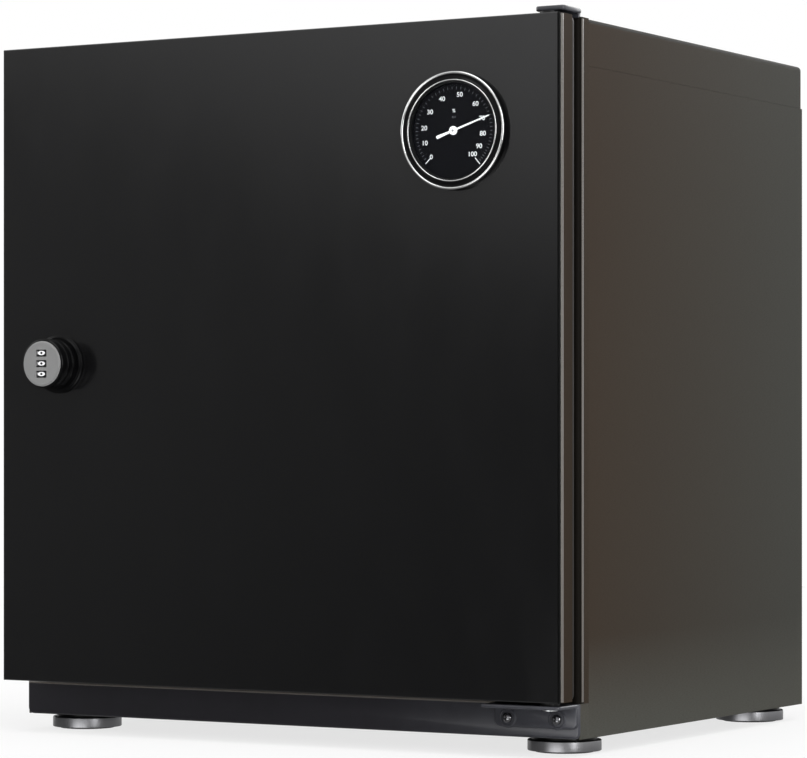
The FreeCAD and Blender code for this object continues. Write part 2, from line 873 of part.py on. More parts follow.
def make_lower_bracket():
    """Lower hinge bracket: a lip under the door and a leg on the plinth with two bosses."""
    bracket = Piece("hinge_bracket_lower")
    face = body_front - size.bracket_thickness
    lip = bracket.sketch("XY", lip_low)
    front = door_front + size.lip_front
    corners = [
        (half - size.lip_width, front, 3),
        (half, front, 3),
        (half, face),
        (half - size.lip_width, face),
    ]
    outline(lip, corners)
    bracket.pad(lip, size.lip_thickness)
    leg = bracket.sketch("XZ", face)
    low = lip_low - size.leg_drop + size.lip_thickness
    corner = size.leg_corner
    left = half - size.leg_width
    outline(leg, [(left, low, corner), (half, low, corner), (half, lip_top), (left, lip_top)])
    bracket.pad(leg, size.bracket_thickness)
    bosses = bracket.sketch("XZ", boss_front)
    for across in lower_screw_places():
        circle(bosses, across, lip_top - size.screw_drop, size.boss_radius)
    bracket.pad(bosses, size.boss_height + size.bracket_thickness / 2)
    bore = bracket.sketch("XY", lip_low - CUT_THROUGH)
    circle(bore, pivot_x, pivot_y, size.pin_radius)
    bracket.pocket(bore, size.lip_thickness + 2 * CUT_THROUGH)
    cut_screw_holes(bracket, boss_front - CUT_THROUGH, body_front - boss_front + 2 * CUT_THROUGH)


def cut_screw_holes(piece, start, depth):
    """Cuts the two holes of the lower bracket's screws through a piece."""
    holes = piece.sketch("XZ", start)
    for across in lower_screw_places():
        circle(holes, across, lip_top - size.screw_drop, size.hinge_screw_radius)
    piece.pocket(holes, depth)


def lower_screw_places():
    """Returns the X of the two screws of the lower bracket."""
    middle = half - size.leg_width / 2 - 2
    return middle - size.screw_pitch / 2, middle + size.screw_pitch / 2


def make_upper_bracket():
    """Upper hinge bracket: a plate over the door's corner on a leg behind the face frame."""
    bracket = Piece("hinge_bracket_upper")
    left = half - size.upper_plate_width
    back = skin_back + size.upper_plate_thickness
    plate = bracket.sketch("XY", plate_low)
    front = door_front + size.upper_plate_front
    outline(plate, [(left, front, 3), (half, front, 3), (half, back), (left, back)])
    bracket.pad(plate, size.upper_plate_thickness)
    leg = bracket.sketch("XY", plate_top - size.upper_leg_drop)
    rectangle(leg, left, half - wall - fit, skin_back, back)
    bracket.pad(leg, size.upper_leg_drop)
    bore = bracket.sketch("XY", plate_low - CUT_THROUGH)
    circle(bore, pivot_x, pivot_y, size.pin_radius)
    bracket.pocket(bore, size.upper_plate_thickness + 2 * CUT_THROUGH)


def make_hinge_pins():
    """Hinge pins: one held in each bracket, reaching into the door's bush."""
    radius = size.pin_radius.value
    reach = size.bush_length.value - 1

    def bar(thickness, low, high):
        ends = (Vector(pivot_x.value, pivot_y.value, height) for height in (low, high))
        return round_bar(thickness, *ends)

    lower = bar(radius, lip_low.value, door_bottom.value + reach)
    head = bar(radius + 1.4, lip_low.value - 1.2, lip_low.value)
    upper = bar(radius, top.value - reach, plate_top.value)
    group("hinge_pins", [lower.fuse(head), upper])


def make_hinge_bushes():
    """Hinge bushes: flanged sleeves in the bottom and the top of the door frame."""
    bore = (size.pin_radius + size.pin_fit).value
    sleeve = bore + size.bush_wall.value
    flange = sleeve + 1.6
    thick = size.bush_flange.value
    place = Vector(pivot_x.value, pivot_y.value, 0)
    bushes = []
    for face, inward in ((door_bottom.value, 1), (top.value, -1)):
        start = place + Vector(0, 0, face - inward * (thick - fit.value * (inward < 0)))
        seat = place + Vector(0, 0, face)
        end = place + Vector(0, 0, face + inward * size.bush_length.value)
        bush = round_bar(flange, start, seat).fuse(round_bar(sleeve, seat, end))
        bushes.append(bush.cut(round_bar(bore, start - Vector(0, 0, inward), end + Vector(0, 0, inward))))
    group("hinge_bushes", bushes)


def pan_head_screw(place, direction):
    """Returns a domed screw whose head sits on a face and whose shank goes into it."""
    head_radius = size.screw_head_radius.value
    head_height = size.screw_head_height.value
    rim = head_height * 0.45
    shank = Part.makeCylinder(size.hinge_screw_radius.value, size.screw_length.value, place, direction)
    head = Part.makeCylinder(head_radius, rim, place, direction * -1)
    crown_seat = place - direction * rim
    crown = Part.makeCone(head_radius, head_radius * 0.62, head_height - rim, crown_seat, direction * -1)
    return shank.fuse([head, crown])


def make_hinge_screws():
    """Screws of the lower hinge bracket."""
    height = (lip_top - size.screw_drop).value
    places = [Vector(across.value, boss_front.value, height) for across in lower_screw_places()]
    group("hinge_screws", [pan_head_screw(place, Vector(0, 1, 0)) for place in places])


# Combination lock: the lock's own axis is the body's Y axis


def make_lock_barrel():
    """Lock barrel: the flange on the glass and the long sleeve that the spindle turns in."""
    barrel = Piece("lock_barrel")
    bore = size.lock_spindle_radius + size.lock_fit
    flange = size.lock_flange_radius
    thick = size.lock_flange_thickness
    profile = [
        (bore, -thick),
        (flange, -thick),
        (flange, 0),
        (size.lock_sleeve_radius, 0),
        (size.lock_sleeve_radius, size.lock_sleeve_length),
        (bore, size.lock_sleeve_length),
    ]
    barrel.turn("Y", profile)
    barrel.place(lock_x, door_front, lock_z)


def make_lock_nut():
    """Lock nut: a six-sided nut that clamps the barrel to the glass from behind."""
    nut = Piece("lock_nut")
    hexagon = nut.sketch("XZ", 0)
    reach = size.nut_across_flats / math.sqrt(3)
    corners = []
    for number in range(6):
        angle = math.radians(60 * number)
        corners.append((reach * round(math.cos(angle), 9), reach * round(math.sin(angle), 9)))
    outline(hexagon, corners)
    circle(hexagon, 0, 0, size.lock_sleeve_radius)
    nut.pad(hexagon, size.nut_thickness)
    nut.place(lock_x, glass_back, lock_z)


cavity_front = size.lock_face_thickness - size.lock_reach
wheel_centre = size.wheel_recess + size.wheel_radius - size.lock_reach
cavity_back = wheel_centre + size.wheel_radius + 0.5
wheel_thickness = size.wheel_pitch - size.wheel_gap
cavity_half_height = size.wheel_pitch + wheel_thickness / 2 + 0.4
cavity_half_width = size.wheel_radius + 0.6
cam_front = door_thickness + size.door_gap + size.cam_setback


def make_lock_knob():
    """Lock knob: the turning barrel with a ring groove, a hollow for the wheels and a spindle."""
    knob = Piece("lock_knob")
    outer = size.lock_barrel_radius
    back = -size.lock_flange_thickness - 0.2
    groove = back - 4
    groove_depth = 0.5
    spindle = size.lock_spindle_radius
    profile = [
        (0, cavity_front),
        (outer, cavity_front),
        (outer, groove - groove_depth),
        (outer - groove_depth, groove),
        (outer, groove + groove_depth),
        (outer, back),
        (spindle, back),
        (spindle, cam_front),
        (0, cam_front),
    ]
    knob.turn("Y", profile)
    hollow = knob.sketch("XZ", cavity_front - CUT_THROUGH)
    rectangle(hollow, -cavity_half_width, cavity_half_width, -cavity_half_height, cavity_half_height)
    knob.pocket(hollow, cavity_back - cavity_front + CUT_THROUGH)
    axle = knob.sketch("XY", -cavity_half_height - 1.5)
    circle(axle, 0, wheel_centre, size.axle_radius)
    knob.pocket(axle, 2 * cavity_half_height + 3)
    stub = knob.sketch("XZ", cam_front)
    rectangle(stub, -3.5, 3.5, -3.5, 3.5)
    circle(stub, 0, 0, 2)
    knob.pad(stub, size.cam_thickness)
    knob.place(lock_x, door_front, lock_z)


def make_lock_face():
    """Lock face: the cap with three windows, one over each number wheel."""
    face = Piece("lock_face")
    radius = size.lock_face_radius
    front = -size.lock_reach
    profile = [
        (0, front),
        (radius - 0.9, front),
        (radius, front + 0.9),
        (radius, cavity_front),
        (0, cavity_front),
    ]
    face.turn("Y", profile)
    windows = face.sketch("XZ", front - CUT_THROUGH)
    for step in (-1, 0, 1):
        middle = size.wheel_pitch * step
        high = size.window_height / 2
        wide = size.window_width / 2
        rectangle(windows, -wide, wide, middle - high, middle + high)
    face.pocket(windows, size.lock_face_thickness + 2 * CUT_THROUGH)
    face.place(lock_x, door_front, lock_z)


def make_wheel_axle():
    """Wheel axle: the rod that the three number wheels turn on."""
    axle = Piece("wheel_axle")
    reach = cavity_half_height + 1.4
    radius = size.axle_radius
    axle.turn("Z", [(0, -reach), (radius, -reach), (radius, reach), (0, reach)])
    axle.place(lock_x, door_front + wheel_centre, lock_z)


def make_number_wheel(number):
    """Number wheel: a drum with ten grip notches between its ten flats."""
    wheel = Piece(f"number_wheel_{number}")
    low = wheel_thickness / -2
    drum = wheel.sketch("XY", low)
    circle(drum, 0, 0, size.wheel_radius)
    circle(drum, 0, 0, size.axle_radius + size.lock_fit)
    wheel.pad(drum, wheel_thickness)
    notch = wheel.sketch("XY", low - CUT_THROUGH)
    sine = round(math.sin(math.radians(18)), 9)
    cosine = round(math.cos(math.radians(18)), 9)
    corners = []
    for side, reach in ((-0.7, 0.4), (0.0, -0.5), (0.7, 0.4)):
        far = size.wheel_radius + reach
        corners.append((far * sine + side * cosine, side * sine - far * cosine))
    outline(notch, corners)
    cut = wheel.pocket(notch, wheel_thickness + 2 * CUT_THROUGH)
    wheel.ring(cut, notch, 10)
    wheel.place(lock_x, door_front + wheel_centre, lock_z + size.wheel_pitch * (2 - number))


def make_lock_cam():
    """Lock cam: a flat bar on the spindle's square end, pointing up when unlocked."""
    cam = Piece("lock_cam")
    bar = cam.sketch("XZ", cam_front)
    reach = size.cam_width / 2
    rectangle(bar, -reach, reach, -reach, size.cam_reach, reach - 1)
    rectangle(bar, -3.5, 3.5, -3.5, 3.5)
    cam.pad(bar, size.cam_thickness)
    cam.place(lock_x, door_front, lock_z)


def make_cam_screw():
    """Cam screw: holds the cam on the spindle."""
    screw = Piece("cam_screw")
    back = cam_front + size.cam_thickness
    head = back + 2.2
    screw.turn("Y", [(0, back - 2), (2, back - 2), (2, back), (5.5, back), (5.5, head), (0, head)])
    screw.place(lock_x, door_front, lock_z)


def make_strike_plate():
    """Strike plate: an angle on the face frame's return that the cam turns in behind."""
    strike = Piece("strike_plate")
    section = strike.sketch("XY", lock_z - size.strike_height / 2)
    edge = -opening_half
    corners = [
        (edge, return_back - 9),
        (edge + wall, return_back - 9),
        (edge + wall, return_back + wall),
        (edge - 15, return_back + wall),
        (edge - 15, return_back),
        (edge, return_back),
    ]
    outline(section, corners)
    strike.pad(section, size.strike_height)


# Hygrometer: its own axis is the body's Y axis


def make_meter_bezel():
    """Bezel: a raised ring with a bevelled rim, its front almost flush with the lens."""
    bezel = Piece("hygrometer_bezel")
    outer = size.bezel_radius
    bore = size.meter_bore
    proud = size.bezel_proud
    profile = [
        (bore, 0),
        (bore, 0.4 - proud),
        (outer - 1.2, -proud),
        (outer, 1.2 - proud),
        (outer, 0),
    ]
    bezel.turn("Y", profile)
    bezel.place(meter_x, door_front, meter_z)


meter_outer = size.meter_bore - size.meter_fit
meter_inner = meter_outer - size.meter_wall
lens_front = 0.1 - size.bezel_proud
lens_back = lens_front + size.lens_thickness
meter_back = size.meter_depth


def make_meter_case():
    """Case: a cup through the glass, its back pierced so that air reaches the coil."""
    case = Piece("hygrometer_case")
    profile = [
        (size.arbor_radius + size.lock_fit, meter_back - size.meter_wall),
        (meter_inner, meter_back - size.meter_wall),
        (meter_inner, lens_back),
        (meter_outer, lens_back),
        (meter_outer, meter_back),
        (size.arbor_radius + size.lock_fit, meter_back),
    ]
    case.turn("Y", profile)
    slot = case.sketch("XZ", meter_back - size.meter_wall - CUT_THROUGH)
    rectangle(slot, -1.5, 1.5, 11, meter_inner - 5)
    cut = case.pocket(slot, size.meter_wall + 2 * CUT_THROUGH)
    case.ring(cut, slot, 6)
    case.place(meter_x, door_front, meter_z)


def make_meter_disc(name, radius, front, thickness, bore):
    """Round plate or ring of the hygrometer, with a bore where it has one."""
    disc = Piece(name)
    start = length(bore)
    back = front + thickness
    disc.turn("Y", [(start, front), (radius, front), (radius, back), (start, back)])
    disc.place(meter_x, door_front, meter_z)


def make_meter_pointer():
    """Pointer: a needle with a tail and a hub, pressed on its thin arbor, at its reading."""
    pointer = Piece("hygrometer_pointer")
    front = size.dial_depth - 1.2
    needle = pointer.sketch("XZ", front)
    corners = [
        (-0.25, size.pointer_length),
        (-0.6, 0),
        (-0.95, -size.pointer_tail),
        (0.95, -size.pointer_tail),
        (0.6, 0),
        (0.25, size.pointer_length),
    ]
    outline(needle, corners)
    pointer.pad(needle, 0.4)
    hub = pointer.sketch("XZ", front - 0.5)
    circle(hub, 0, 0, size.pointer_hub)
    pointer.pad(hub, 1.3)
    arbor = pointer.sketch("XZ", front)
    circle(arbor, 0, 0, size.arbor_radius)
    pointer.pad(arbor, meter_back - front)
    pointer.place(meter_x, door_front, meter_z, Rotation(Vector(0, 1, 0), size.pointer_angle.value))


COIL_HALF_TURNS = 5


def make_meter_coil():
    """Humidity coil: a flat spiral strip of half circles round the arbor, ending at a post."""
    pitch = size.coil_pitch.value
    strip = size.coil_strip.value
    start = size.arbor_radius.value + 0.4
    edges = {}
    for inset in (0.0, strip):
        side = 1
        centre = 0.0
        chain = []
        for turn in range(COIL_HALF_TURNS):
            radius = start + turn * pitch / 2 + inset
            first = Vector(centre + side * radius, 0, 0)
            last = Vector(centre - side * radius, 0, 0)
            chain.append(Part.Arc(first, Vector(centre, 0, side * radius), last).toShape())
            centre += side * pitch / 2
            side = -side
        edges[inset] = chain
    inner, outer = edges[0.0], edges[strip]
    closing = (
        Part.makeLine(inner[0].Vertexes[0].Point, outer[0].Vertexes[0].Point),
        Part.makeLine(inner[-1].Vertexes[-1].Point, outer[-1].Vertexes[-1].Point),
    )
    loop = Part.Wire(Part.__sortEdges__([*inner, *outer, *closing]))
    spiral = Part.Face(loop).extrude(Vector(0, size.coil_width.value, 0))
    coil_front = (meter_back - size.meter_wall - size.coil_width).value - 3
    spiral.translate(Vector(0, coil_front, 0))
    end = outer[-1].Vertexes[-1].Point
    post_end = Vector(end.x, (meter_back - size.meter_wall).value, 0)
    post = round_bar(0.9, Vector(end.x, coil_front, 0), post_end)
    feature = document.addObject("Part::Feature", "hygrometer_coil")
    feature.Label = "hygrometer_coil"
    feature.Shape = spiral.fuse(post)
    feature.Placement = Placement(Vector(meter_x.value, door_front.value, meter_z.value), Rotation())


# Drying unit

chamber = size.chamber_half
divider_top = unit_bottom + size.unit_wall + size.pack_height + 2 + size.unit_wall
knob_z = shutter_z - size.knob_drop
lamp_z = shutter_z - size.lamp_drop
knob_shaft = length(3)


def port_collar(piece, start):
    """Adds the raised collar round an air port that a shutter closes on."""
    collar = piece.sketch("XZ", start)
    reach = size.port_width / 2
    edge = size.collar_wall
    rectangle(collar, -reach - edge, reach + edge, port_bottom - edge, port_top + edge)
    rectangle(collar, -reach, reach, port_bottom, port_top)
    piece.pad(collar, collar_length)


def make_unit_housing():
    """Housing: an open-fronted box with the shutters' chamber and the desiccant's bay."""
    housing = Piece("dryer_housing")
    reach = size.unit_width / 2
    shell = housing.sketch("XZ", unit_front)
    rectangle(shell, -reach, reach, unit_bottom, unit_top, 4)
    housing.pad(shell, size.unit_depth)
    bays = housing.sketch("XZ", unit_front - CUT_THROUGH)
    thick = size.unit_wall
    rectangle(bays, -chamber, chamber, divider_top, unit_top - thick)
    rectangle(bays, -chamber, chamber, unit_bottom + thick, divider_top - thick)
    rectangle(bays, chamber + thick, reach - thick, unit_bottom + thick, unit_top - thick)
    rectangle(bays, thick - reach, -chamber - thick, unit_bottom + thick, unit_top - thick)
    housing.pocket(bays, size.unit_depth - thick + CUT_THROUGH)
    ports = housing.sketch("XZ", unit_back - thick - CUT_THROUGH)
    rectangle(ports, size.port_width / -2, size.port_width / 2, port_bottom, port_top)
    circle(ports, size.knob_offset, unit_bottom + size.inlet_height, size.inlet_radius - 1)
    housing.pocket(ports, thick + 2 * CUT_THROUGH)
    air_way = housing.sketch("XY", divider_top - thick - CUT_THROUGH)
    rectangle(air_way, 12 - chamber, chamber - 12, unit_front + 12, unit_back - 12)
    housing.pocket(air_way, thick + 2 * CUT_THROUGH)
    bearings = housing.sketch("YZ", -chamber - thick - CUT_THROUGH)
    for axis_y in (inner_axis_y, outer_axis_y):
        circle(bearings, axis_y, shutter_z, size.shaft_radius + size.pin_fit)
    housing.pocket(bearings, 2 * (chamber + thick + CUT_THROUGH))
    port_collar(housing, unit_back - thick - collar_length)


def make_unit_grille():
    """Grille: the unit's front cover with the inner air port and a row of slots below it."""
    grille = Piece("dryer_grille")
    reach = size.unit_width / 2
    plate = grille.sketch("XZ", unit_front - size.unit_wall)
    rectangle(plate, -reach, reach, unit_bottom, unit_top, 4)
    grille.pad(plate, size.unit_wall)
    slots = grille.sketch("XZ", unit_front - size.unit_wall - CUT_THROUGH)
    low = unit_bottom + 9
    rectangle(slots, 10 - chamber, chamber - 10, low, low + 3)
    cut = grille.pocket(slots, size.unit_wall + 2 * CUT_THROUGH)
    grille.row(cut, slots, "V_Axis", 24, 5)
    port = grille.sketch("XZ", unit_front - size.unit_wall - CUT_THROUGH)
    rectangle(port, size.port_width / -2, size.port_width / 2, port_bottom, port_bottom + 3)
    cut = grille.pocket(port, size.unit_wall + 2 * CUT_THROUGH)
    grille.row(cut, port, "V_Axis", size.port_height - 3, 6)
    holes = grille.sketch("XZ", unit_front - size.unit_wall - CUT_THROUGH)
    circle(holes, size.knob_offset, knob_z, knob_shaft + size.pin_fit)
    circle(holes, size.knob_offset, lamp_z, size.lamp_radius)
    grille.pocket(holes, size.unit_wall + 2 * CUT_THROUGH)
    port_collar(grille, unit_front)


def shutter_frame(name, axis_y, tilt):
    """Shutter: a flap on a shaft, with a crank arm and a pin for the link."""
    shutter = Piece(name)
    shaft = size.shaft_radius
    reach = chamber + size.unit_wall - 0.3
    shutter.turn("X", [(0, -reach), (shaft, -reach), (shaft, reach), (0, reach)])
    flap = shutter.sketch("YZ", size.shutter_width / -2)
    across = size.shutter_thickness / 2
    sine = round(math.sin(math.radians(tilt)), 9)
    cosine = round(math.cos(math.radians(tilt)), 9)
    drop = size.shutter_length
    corners = []
    for side, down in ((-across, 0), (across, 0), (across, drop), (-across, drop)):
        down = length(down)
        corners.append((side * cosine + down * sine, side * sine - down * cosine))
    outline(flap, corners)
    shutter.pad(flap, size.shutter_width)
    arm = shutter.sketch("YZ", chamber - 7)
    corners = []
    for side, up in ((2.2, 0), (2.2, size.crank_radius + 2), (-2.2, size.crank_radius + 2), (-2.2, 0)):
        up = length(up)
        corners.append((side * lean_cosine - up * lean_sine, side * lean_sine + up * lean_cosine))
    outline(arm, corners)
    shutter.pad(arm, 2)
    pin = shutter.sketch("YZ", chamber - 6)
    circle(pin, size.crank_radius * -lean_sine, size.crank_radius * lean_cosine, size.crank_pin)
    shutter.pad(pin, 4.5)
    shutter.place(0, axis_y, shutter_z)


def make_shutter_link():
    """Link: the bar that joins the two cranks, with a post that both springs pull on."""
    link = Piece("shutter_link")
    back_offset = size.crank_radius * -lean_sine
    height = shutter_z + size.crank_radius * lean_cosine
    start = inner_axis_y + back_offset
    end = outer_axis_y + back_offset
    bar = link.sketch("YZ", chamber - 4.7)
    rectangle(bar, start - 2.6, end + 2.6, height - 2.6, height + 2.6, 2.5)
    circle(bar, start, height, size.crank_pin + size.pin_fit)
    circle(bar, end, height, size.crank_pin + 3 * size.pin_fit)
    link.pad(bar, 1.8)
    post = link.sketch("YZ", chamber - 12)
    circle(post, (start + end) / 2, height, 1.2)
    link.pad(post, 8)


spring_x = chamber - 10.5
spring_z = shutter_z + size.crank_radius * lean_cosine
post_y = (inner_axis_y + outer_axis_y) / 2 - size.crank_radius * lean_sine

SPRING_SIDES = 6
SQUARE = ((-1, -1), (1, -1), (1, 1), (-1, 1), (-1, -1))


def spring_coil(start, end):
    """Returns a coil along Y, its wire square and each turn drawn with straight runs."""
    wire = size.spring_wire.value
    run = end - start - 2 * wire
    turns = max(3, round(run / size.spring_pitch.value))
    path = []
    for step in range(turns * SPRING_SIDES + 1):
        angle = 2 * math.pi * step / SPRING_SIDES
        across = spring_x.value + size.spring_radius.value * math.cos(angle)
        up = spring_z.value + size.spring_radius.value * math.sin(angle)
        path.append(Vector(across, start + wire + run * step / (turns * SPRING_SIDES), up))
    section = Part.makePolygon([path[0] + Vector(a * wire, b * wire, 0) for a, b in SQUARE])
    return Part.Wire(Part.makePolygon(path)).makePipeShell([section], True, False, 1)


def make_springs():
    """Memory spring to the front and bias spring to the rear, both on the link's post."""
    post = post_y.value
    front = spring_coil(unit_front.value, post - 1.2)
    rear = spring_coil(post + 1.2, (unit_back - size.unit_wall).value)
    group("shutter_springs", [front, rear])


def make_desiccant():
    """Desiccant pack and the heater plate behind it."""
    low = unit_bottom + size.unit_wall
    high = low + size.pack_height
    reach = chamber - 3
    along = (unit_front + 2, unit_back - size.unit_wall - 7)
    block("desiccant_pack", (-reach, reach), along, (low, high), 3)
    plate = Piece("heater_plate")
    face = plate.sketch("XZ", unit_back - size.unit_wall - 4)
    rectangle(face, -reach + 6, reach - 6, low, high - 4, 2)
    plate.pad(face, 4)
    fin = plate.sketch("XZ", unit_back - size.unit_wall - 6)
    rectangle(fin, 10 - reach, 12 - reach, low, high - 6)
    rib = plate.pad(fin, 3)
    plate.row(rib, fin, "H_Axis", 2 * reach - 22, 9)


def make_control_board():
    """Control board: the circuit board with its setting resistor and parts."""
    board = Piece("control_board")
    left = chamber + size.unit_wall
    right = size.unit_width / 2 - size.unit_wall
    plate = board.sketch("XZ", unit_front + 14)
    rectangle(plate, left + 0.5, right - 0.5, unit_bottom + size.unit_wall + 22, unit_top - size.unit_wall)
    board.pad(plate, 1.6)
    parts = board.sketch("XZ", unit_front + 14)
    middle = size.knob_offset
    rectangle(parts, middle - 5, middle + 5, knob_z - 5, knob_z + 5)
    circle(parts, middle, lamp_z, size.lamp_radius + 0.6)
    rectangle(parts, left + 2, right - 3, shutter_z - 62, shutter_z - 52)
    board.pad(parts, 8, back=True)


def make_status_lamp():
    """Status lamp: a small round lens through the grille."""
    lamp = Piece("status_lamp")
    front = unit_front - size.unit_wall
    radius = size.lamp_radius
    back = unit_front + 6
    lamp.turn("Y", [(0, front - 1.2), (radius, front - 1.2), (radius, back), (0, back)])
    lamp.place(size.knob_offset, 0, lamp_z)


def make_setting_knob():
    """Setting knob: a tapered knob with a pointer groove, on a shaft into the board."""
    knob = Piece("setting_knob")
    face = unit_front - size.unit_wall - 0.3
    front = face - size.knob_height
    radius = size.knob_radius
    profile = [
        (0, front),
        (radius - 0.8, front),
        (radius, face),
        (knob_shaft, face),
        (knob_shaft, unit_front + 5.9),
        (0, unit_front + 5.9),
    ]
    knob.turn("Y", profile)
    groove = knob.sketch("XZ", front - CUT_THROUGH)
    rectangle(groove, -0.6, 0.6, 2, radius + 1)
    knob.pocket(groove, CUT_THROUGH + 0.8)
    knob.place(size.knob_offset, 0, knob_z)


def make_power_inlet():
    """Power inlet: a round socket with its centre pin, through the rear panel."""
    inlet = Piece("power_inlet")
    face = body_back
    radius = size.inlet_radius
    profile = [
        (3.2, face + 1.5),
        (3.2, face - 9),
        (1.05, face - 9),
        (1.05, face - 1),
        (0, face - 1),
        (0, face - 12),
        (radius - 1.1, face - 12),
        (radius - 1.1, face),
        (radius + 1, face),
        (radius + 1, face + 1.5),
    ]
    inlet.turn("Y", profile)
    inlet.place(size.knob_offset, 0, unit_bottom + size.inlet_height)


VENT_SLOTS = 5


def make_vent_cover():
    """Louvred cover: a shallow shell outside the rear port with slanted blades."""
    cover = Piece("vent_cover")
    reach = size.vent_width / 2
    middle = (port_bottom + port_top) / 2
    low = middle - size.vent_height / 2
    high = middle + size.vent_height / 2
    shell = cover.sketch("XZ", body_back)
    rectangle(shell, -reach, reach, low, high, 4)
    cover.pad(shell, size.vent_depth)
    hollow = cover.sketch("XZ", body_back)
    rectangle(hollow, 2 - reach, reach - 2, low + 2, high - 2)
    cover.pocket(hollow, size.vent_depth - 2)
    gap = (size.vent_height - 10) / (VENT_SLOTS * 2 - 1)
    slot = cover.sketch("XZ", body_back + size.vent_depth - 3)
    rectangle(slot, 8 - reach, reach - 8, low + 5, low + 5 + gap)
    cut = cover.pocket(slot, 4)
    cover.row(cut, slot, "V_Axis", 2 * gap * (VENT_SLOTS - 1), VENT_SLOTS)
    blade = cover.sketch("YZ", 8 - reach)
    back = body_back + size.vent_depth
    corners = [
        (back - 1.8, low + 5 + gap),
        (back - 0.6, low + 5 + gap),
        (back - 5, low + 5 + gap * 0.3),
        (back - 6.2, low + 5 + gap * 0.3),
    ]
    outline(blade, corners)
    hood = cover.pad(blade, 2 * reach - 16)
    cover.row(hood, blade, "V_Axis", 2 * gap * (VENT_SLOTS - 1), VENT_SLOTS)


make_front_frame()
make_plinth()
make_side_panel("side_panel_left", -1)
make_side_panel("side_panel_right", 1)
make_top_cover()
make_base_pan()
make_interior_floor()
make_rear_panel()
make_feet()
make_foot_pads()
make_uprights("uprights_left", -1)
make_uprights("uprights_right", 1)
shelf_back = body_back - wall - size.shelf_rear_gap
for shelf_level in SHELF_STEPS:
    make_shelf(shelf_level)
shelf_tops = [shelf_underside(level) + size.shelf_lip for level in SHELF_STEPS]
make_mats("shelf_mats", shelf_tops, shelf_back - size.mat_rear_gap)
make_mats("floor_mat", [floor_top], unit_front - size.unit_wall - size.knob_height - size.mat_inset)
make_shelf_clips()

make_door_glass()
make_door_frame()
make_door_rim()
make_door_seal()

make_lower_bracket()
make_upper_bracket()
make_hinge_pins()
make_hinge_bushes()
make_hinge_screws()

make_lock_barrel()
make_lock_nut()
make_lock_knob()
make_lock_face()
make_wheel_axle()
for wheel_number in (1, 2, 3):
    make_number_wheel(wheel_number)
make_lock_cam()
make_cam_screw()
make_strike_plate()

make_meter_bezel()
make_meter_case()
make_meter_disc("hygrometer_lens", meter_outer, lens_front, size.lens_thickness, 0)
arbor_bore = size.arbor_radius + size.lock_fit
clamp_outer = size.meter_bore + size.clamp_width
make_meter_disc("hygrometer_dial", meter_inner, size.dial_depth, size.dial_thickness, arbor_bore)
make_meter_disc("hygrometer_clamp", clamp_outer, size.glass_thickness, size.clamp_height, meter_outer)
make_meter_pointer()
make_meter_coil()

make_unit_housing()
make_unit_grille()
shutter_frame("shutter_inner", inner_axis_y, size.shutter_travel.value)
shutter_frame("shutter_outer", outer_axis_y, 0)
make_shutter_link()
make_springs()
make_desiccant()
make_control_board()
make_status_lamp()
make_setting_knob()
make_power_inlet()
make_vent_cover()

document.recompute()


def check_and_write():
    """Stops at the first failed object, and otherwise writes one file for each sub-part."""
    for item in document.Objects:
        if "Invalid" in item.State or "Error" in item.State:
            raise RuntimeError(f"{item.Name} failed: {item.State}")
    parts = [item for item in document.Objects if item.TypeId in ("PartDesign::Body", "Part::Feature")]
    for part in parts:
        if part.Shape.isNull() or not part.Shape.isValid() or not part.Shape.Solids:
            raise RuntimeError(f"{part.Label} has no valid solid")
    os.makedirs("parts", exist_ok=True)
    for part in parts:
        part.Shape.exportStep(os.path.join("parts", f"{part.Label}.step"))
    print(len(parts), "sub-parts written")


check_and_write()
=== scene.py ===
"""Dry cabinet: the finish of every surface, and the finely shaped pieces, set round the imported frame.

Lengths are metres in the frame's own axes: X to the right seen from the front, Y from the door to
the rear panel, Z up, with the origin on the floor under the middle of the cabinet.
"""

import logging
import math
from dataclasses import dataclass
from enum import Enum

import bmesh
import bpy
import numpy as np
from mathutils import Matrix, Vector


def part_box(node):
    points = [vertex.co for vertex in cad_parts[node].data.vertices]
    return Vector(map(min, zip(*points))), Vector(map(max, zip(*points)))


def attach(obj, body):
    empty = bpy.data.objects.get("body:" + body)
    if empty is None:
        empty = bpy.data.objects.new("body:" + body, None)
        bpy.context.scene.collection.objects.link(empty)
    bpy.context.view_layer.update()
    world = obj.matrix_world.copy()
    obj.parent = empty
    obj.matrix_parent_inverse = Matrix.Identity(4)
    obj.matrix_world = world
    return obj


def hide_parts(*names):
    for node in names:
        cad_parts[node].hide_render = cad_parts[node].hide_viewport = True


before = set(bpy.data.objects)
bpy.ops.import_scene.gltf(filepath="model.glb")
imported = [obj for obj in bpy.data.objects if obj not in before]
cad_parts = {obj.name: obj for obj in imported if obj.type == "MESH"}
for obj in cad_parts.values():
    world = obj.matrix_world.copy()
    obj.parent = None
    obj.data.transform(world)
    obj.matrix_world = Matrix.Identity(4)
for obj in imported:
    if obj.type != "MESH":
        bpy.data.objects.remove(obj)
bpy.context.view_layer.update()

log = logging.getLogger("dry_cabinet")

Colour = tuple[float, float, float]
Section = list[tuple[float, float, float]]

MM = 0.001


def shade(red: float, green: float, blue: float) -> Colour:
    """Returns the linear colour of display values from 0 to 255.

    Args:
        red: display value of red.
        green: display value of green.
        blue: display value of blue.

    Returns:
        The three linear values, by the display's own curve.
    """
    shares = (value / 255 for value in (red, green, blue))
    return tuple(share / 12.92 if share <= 0.04045 else ((share + 0.055) / 1.055) ** 2.4 for share in shares)


class Axis(Enum):
    """An axis of the frame."""

    X = 0
    Y = 1
    Z = 2


# Shader maths


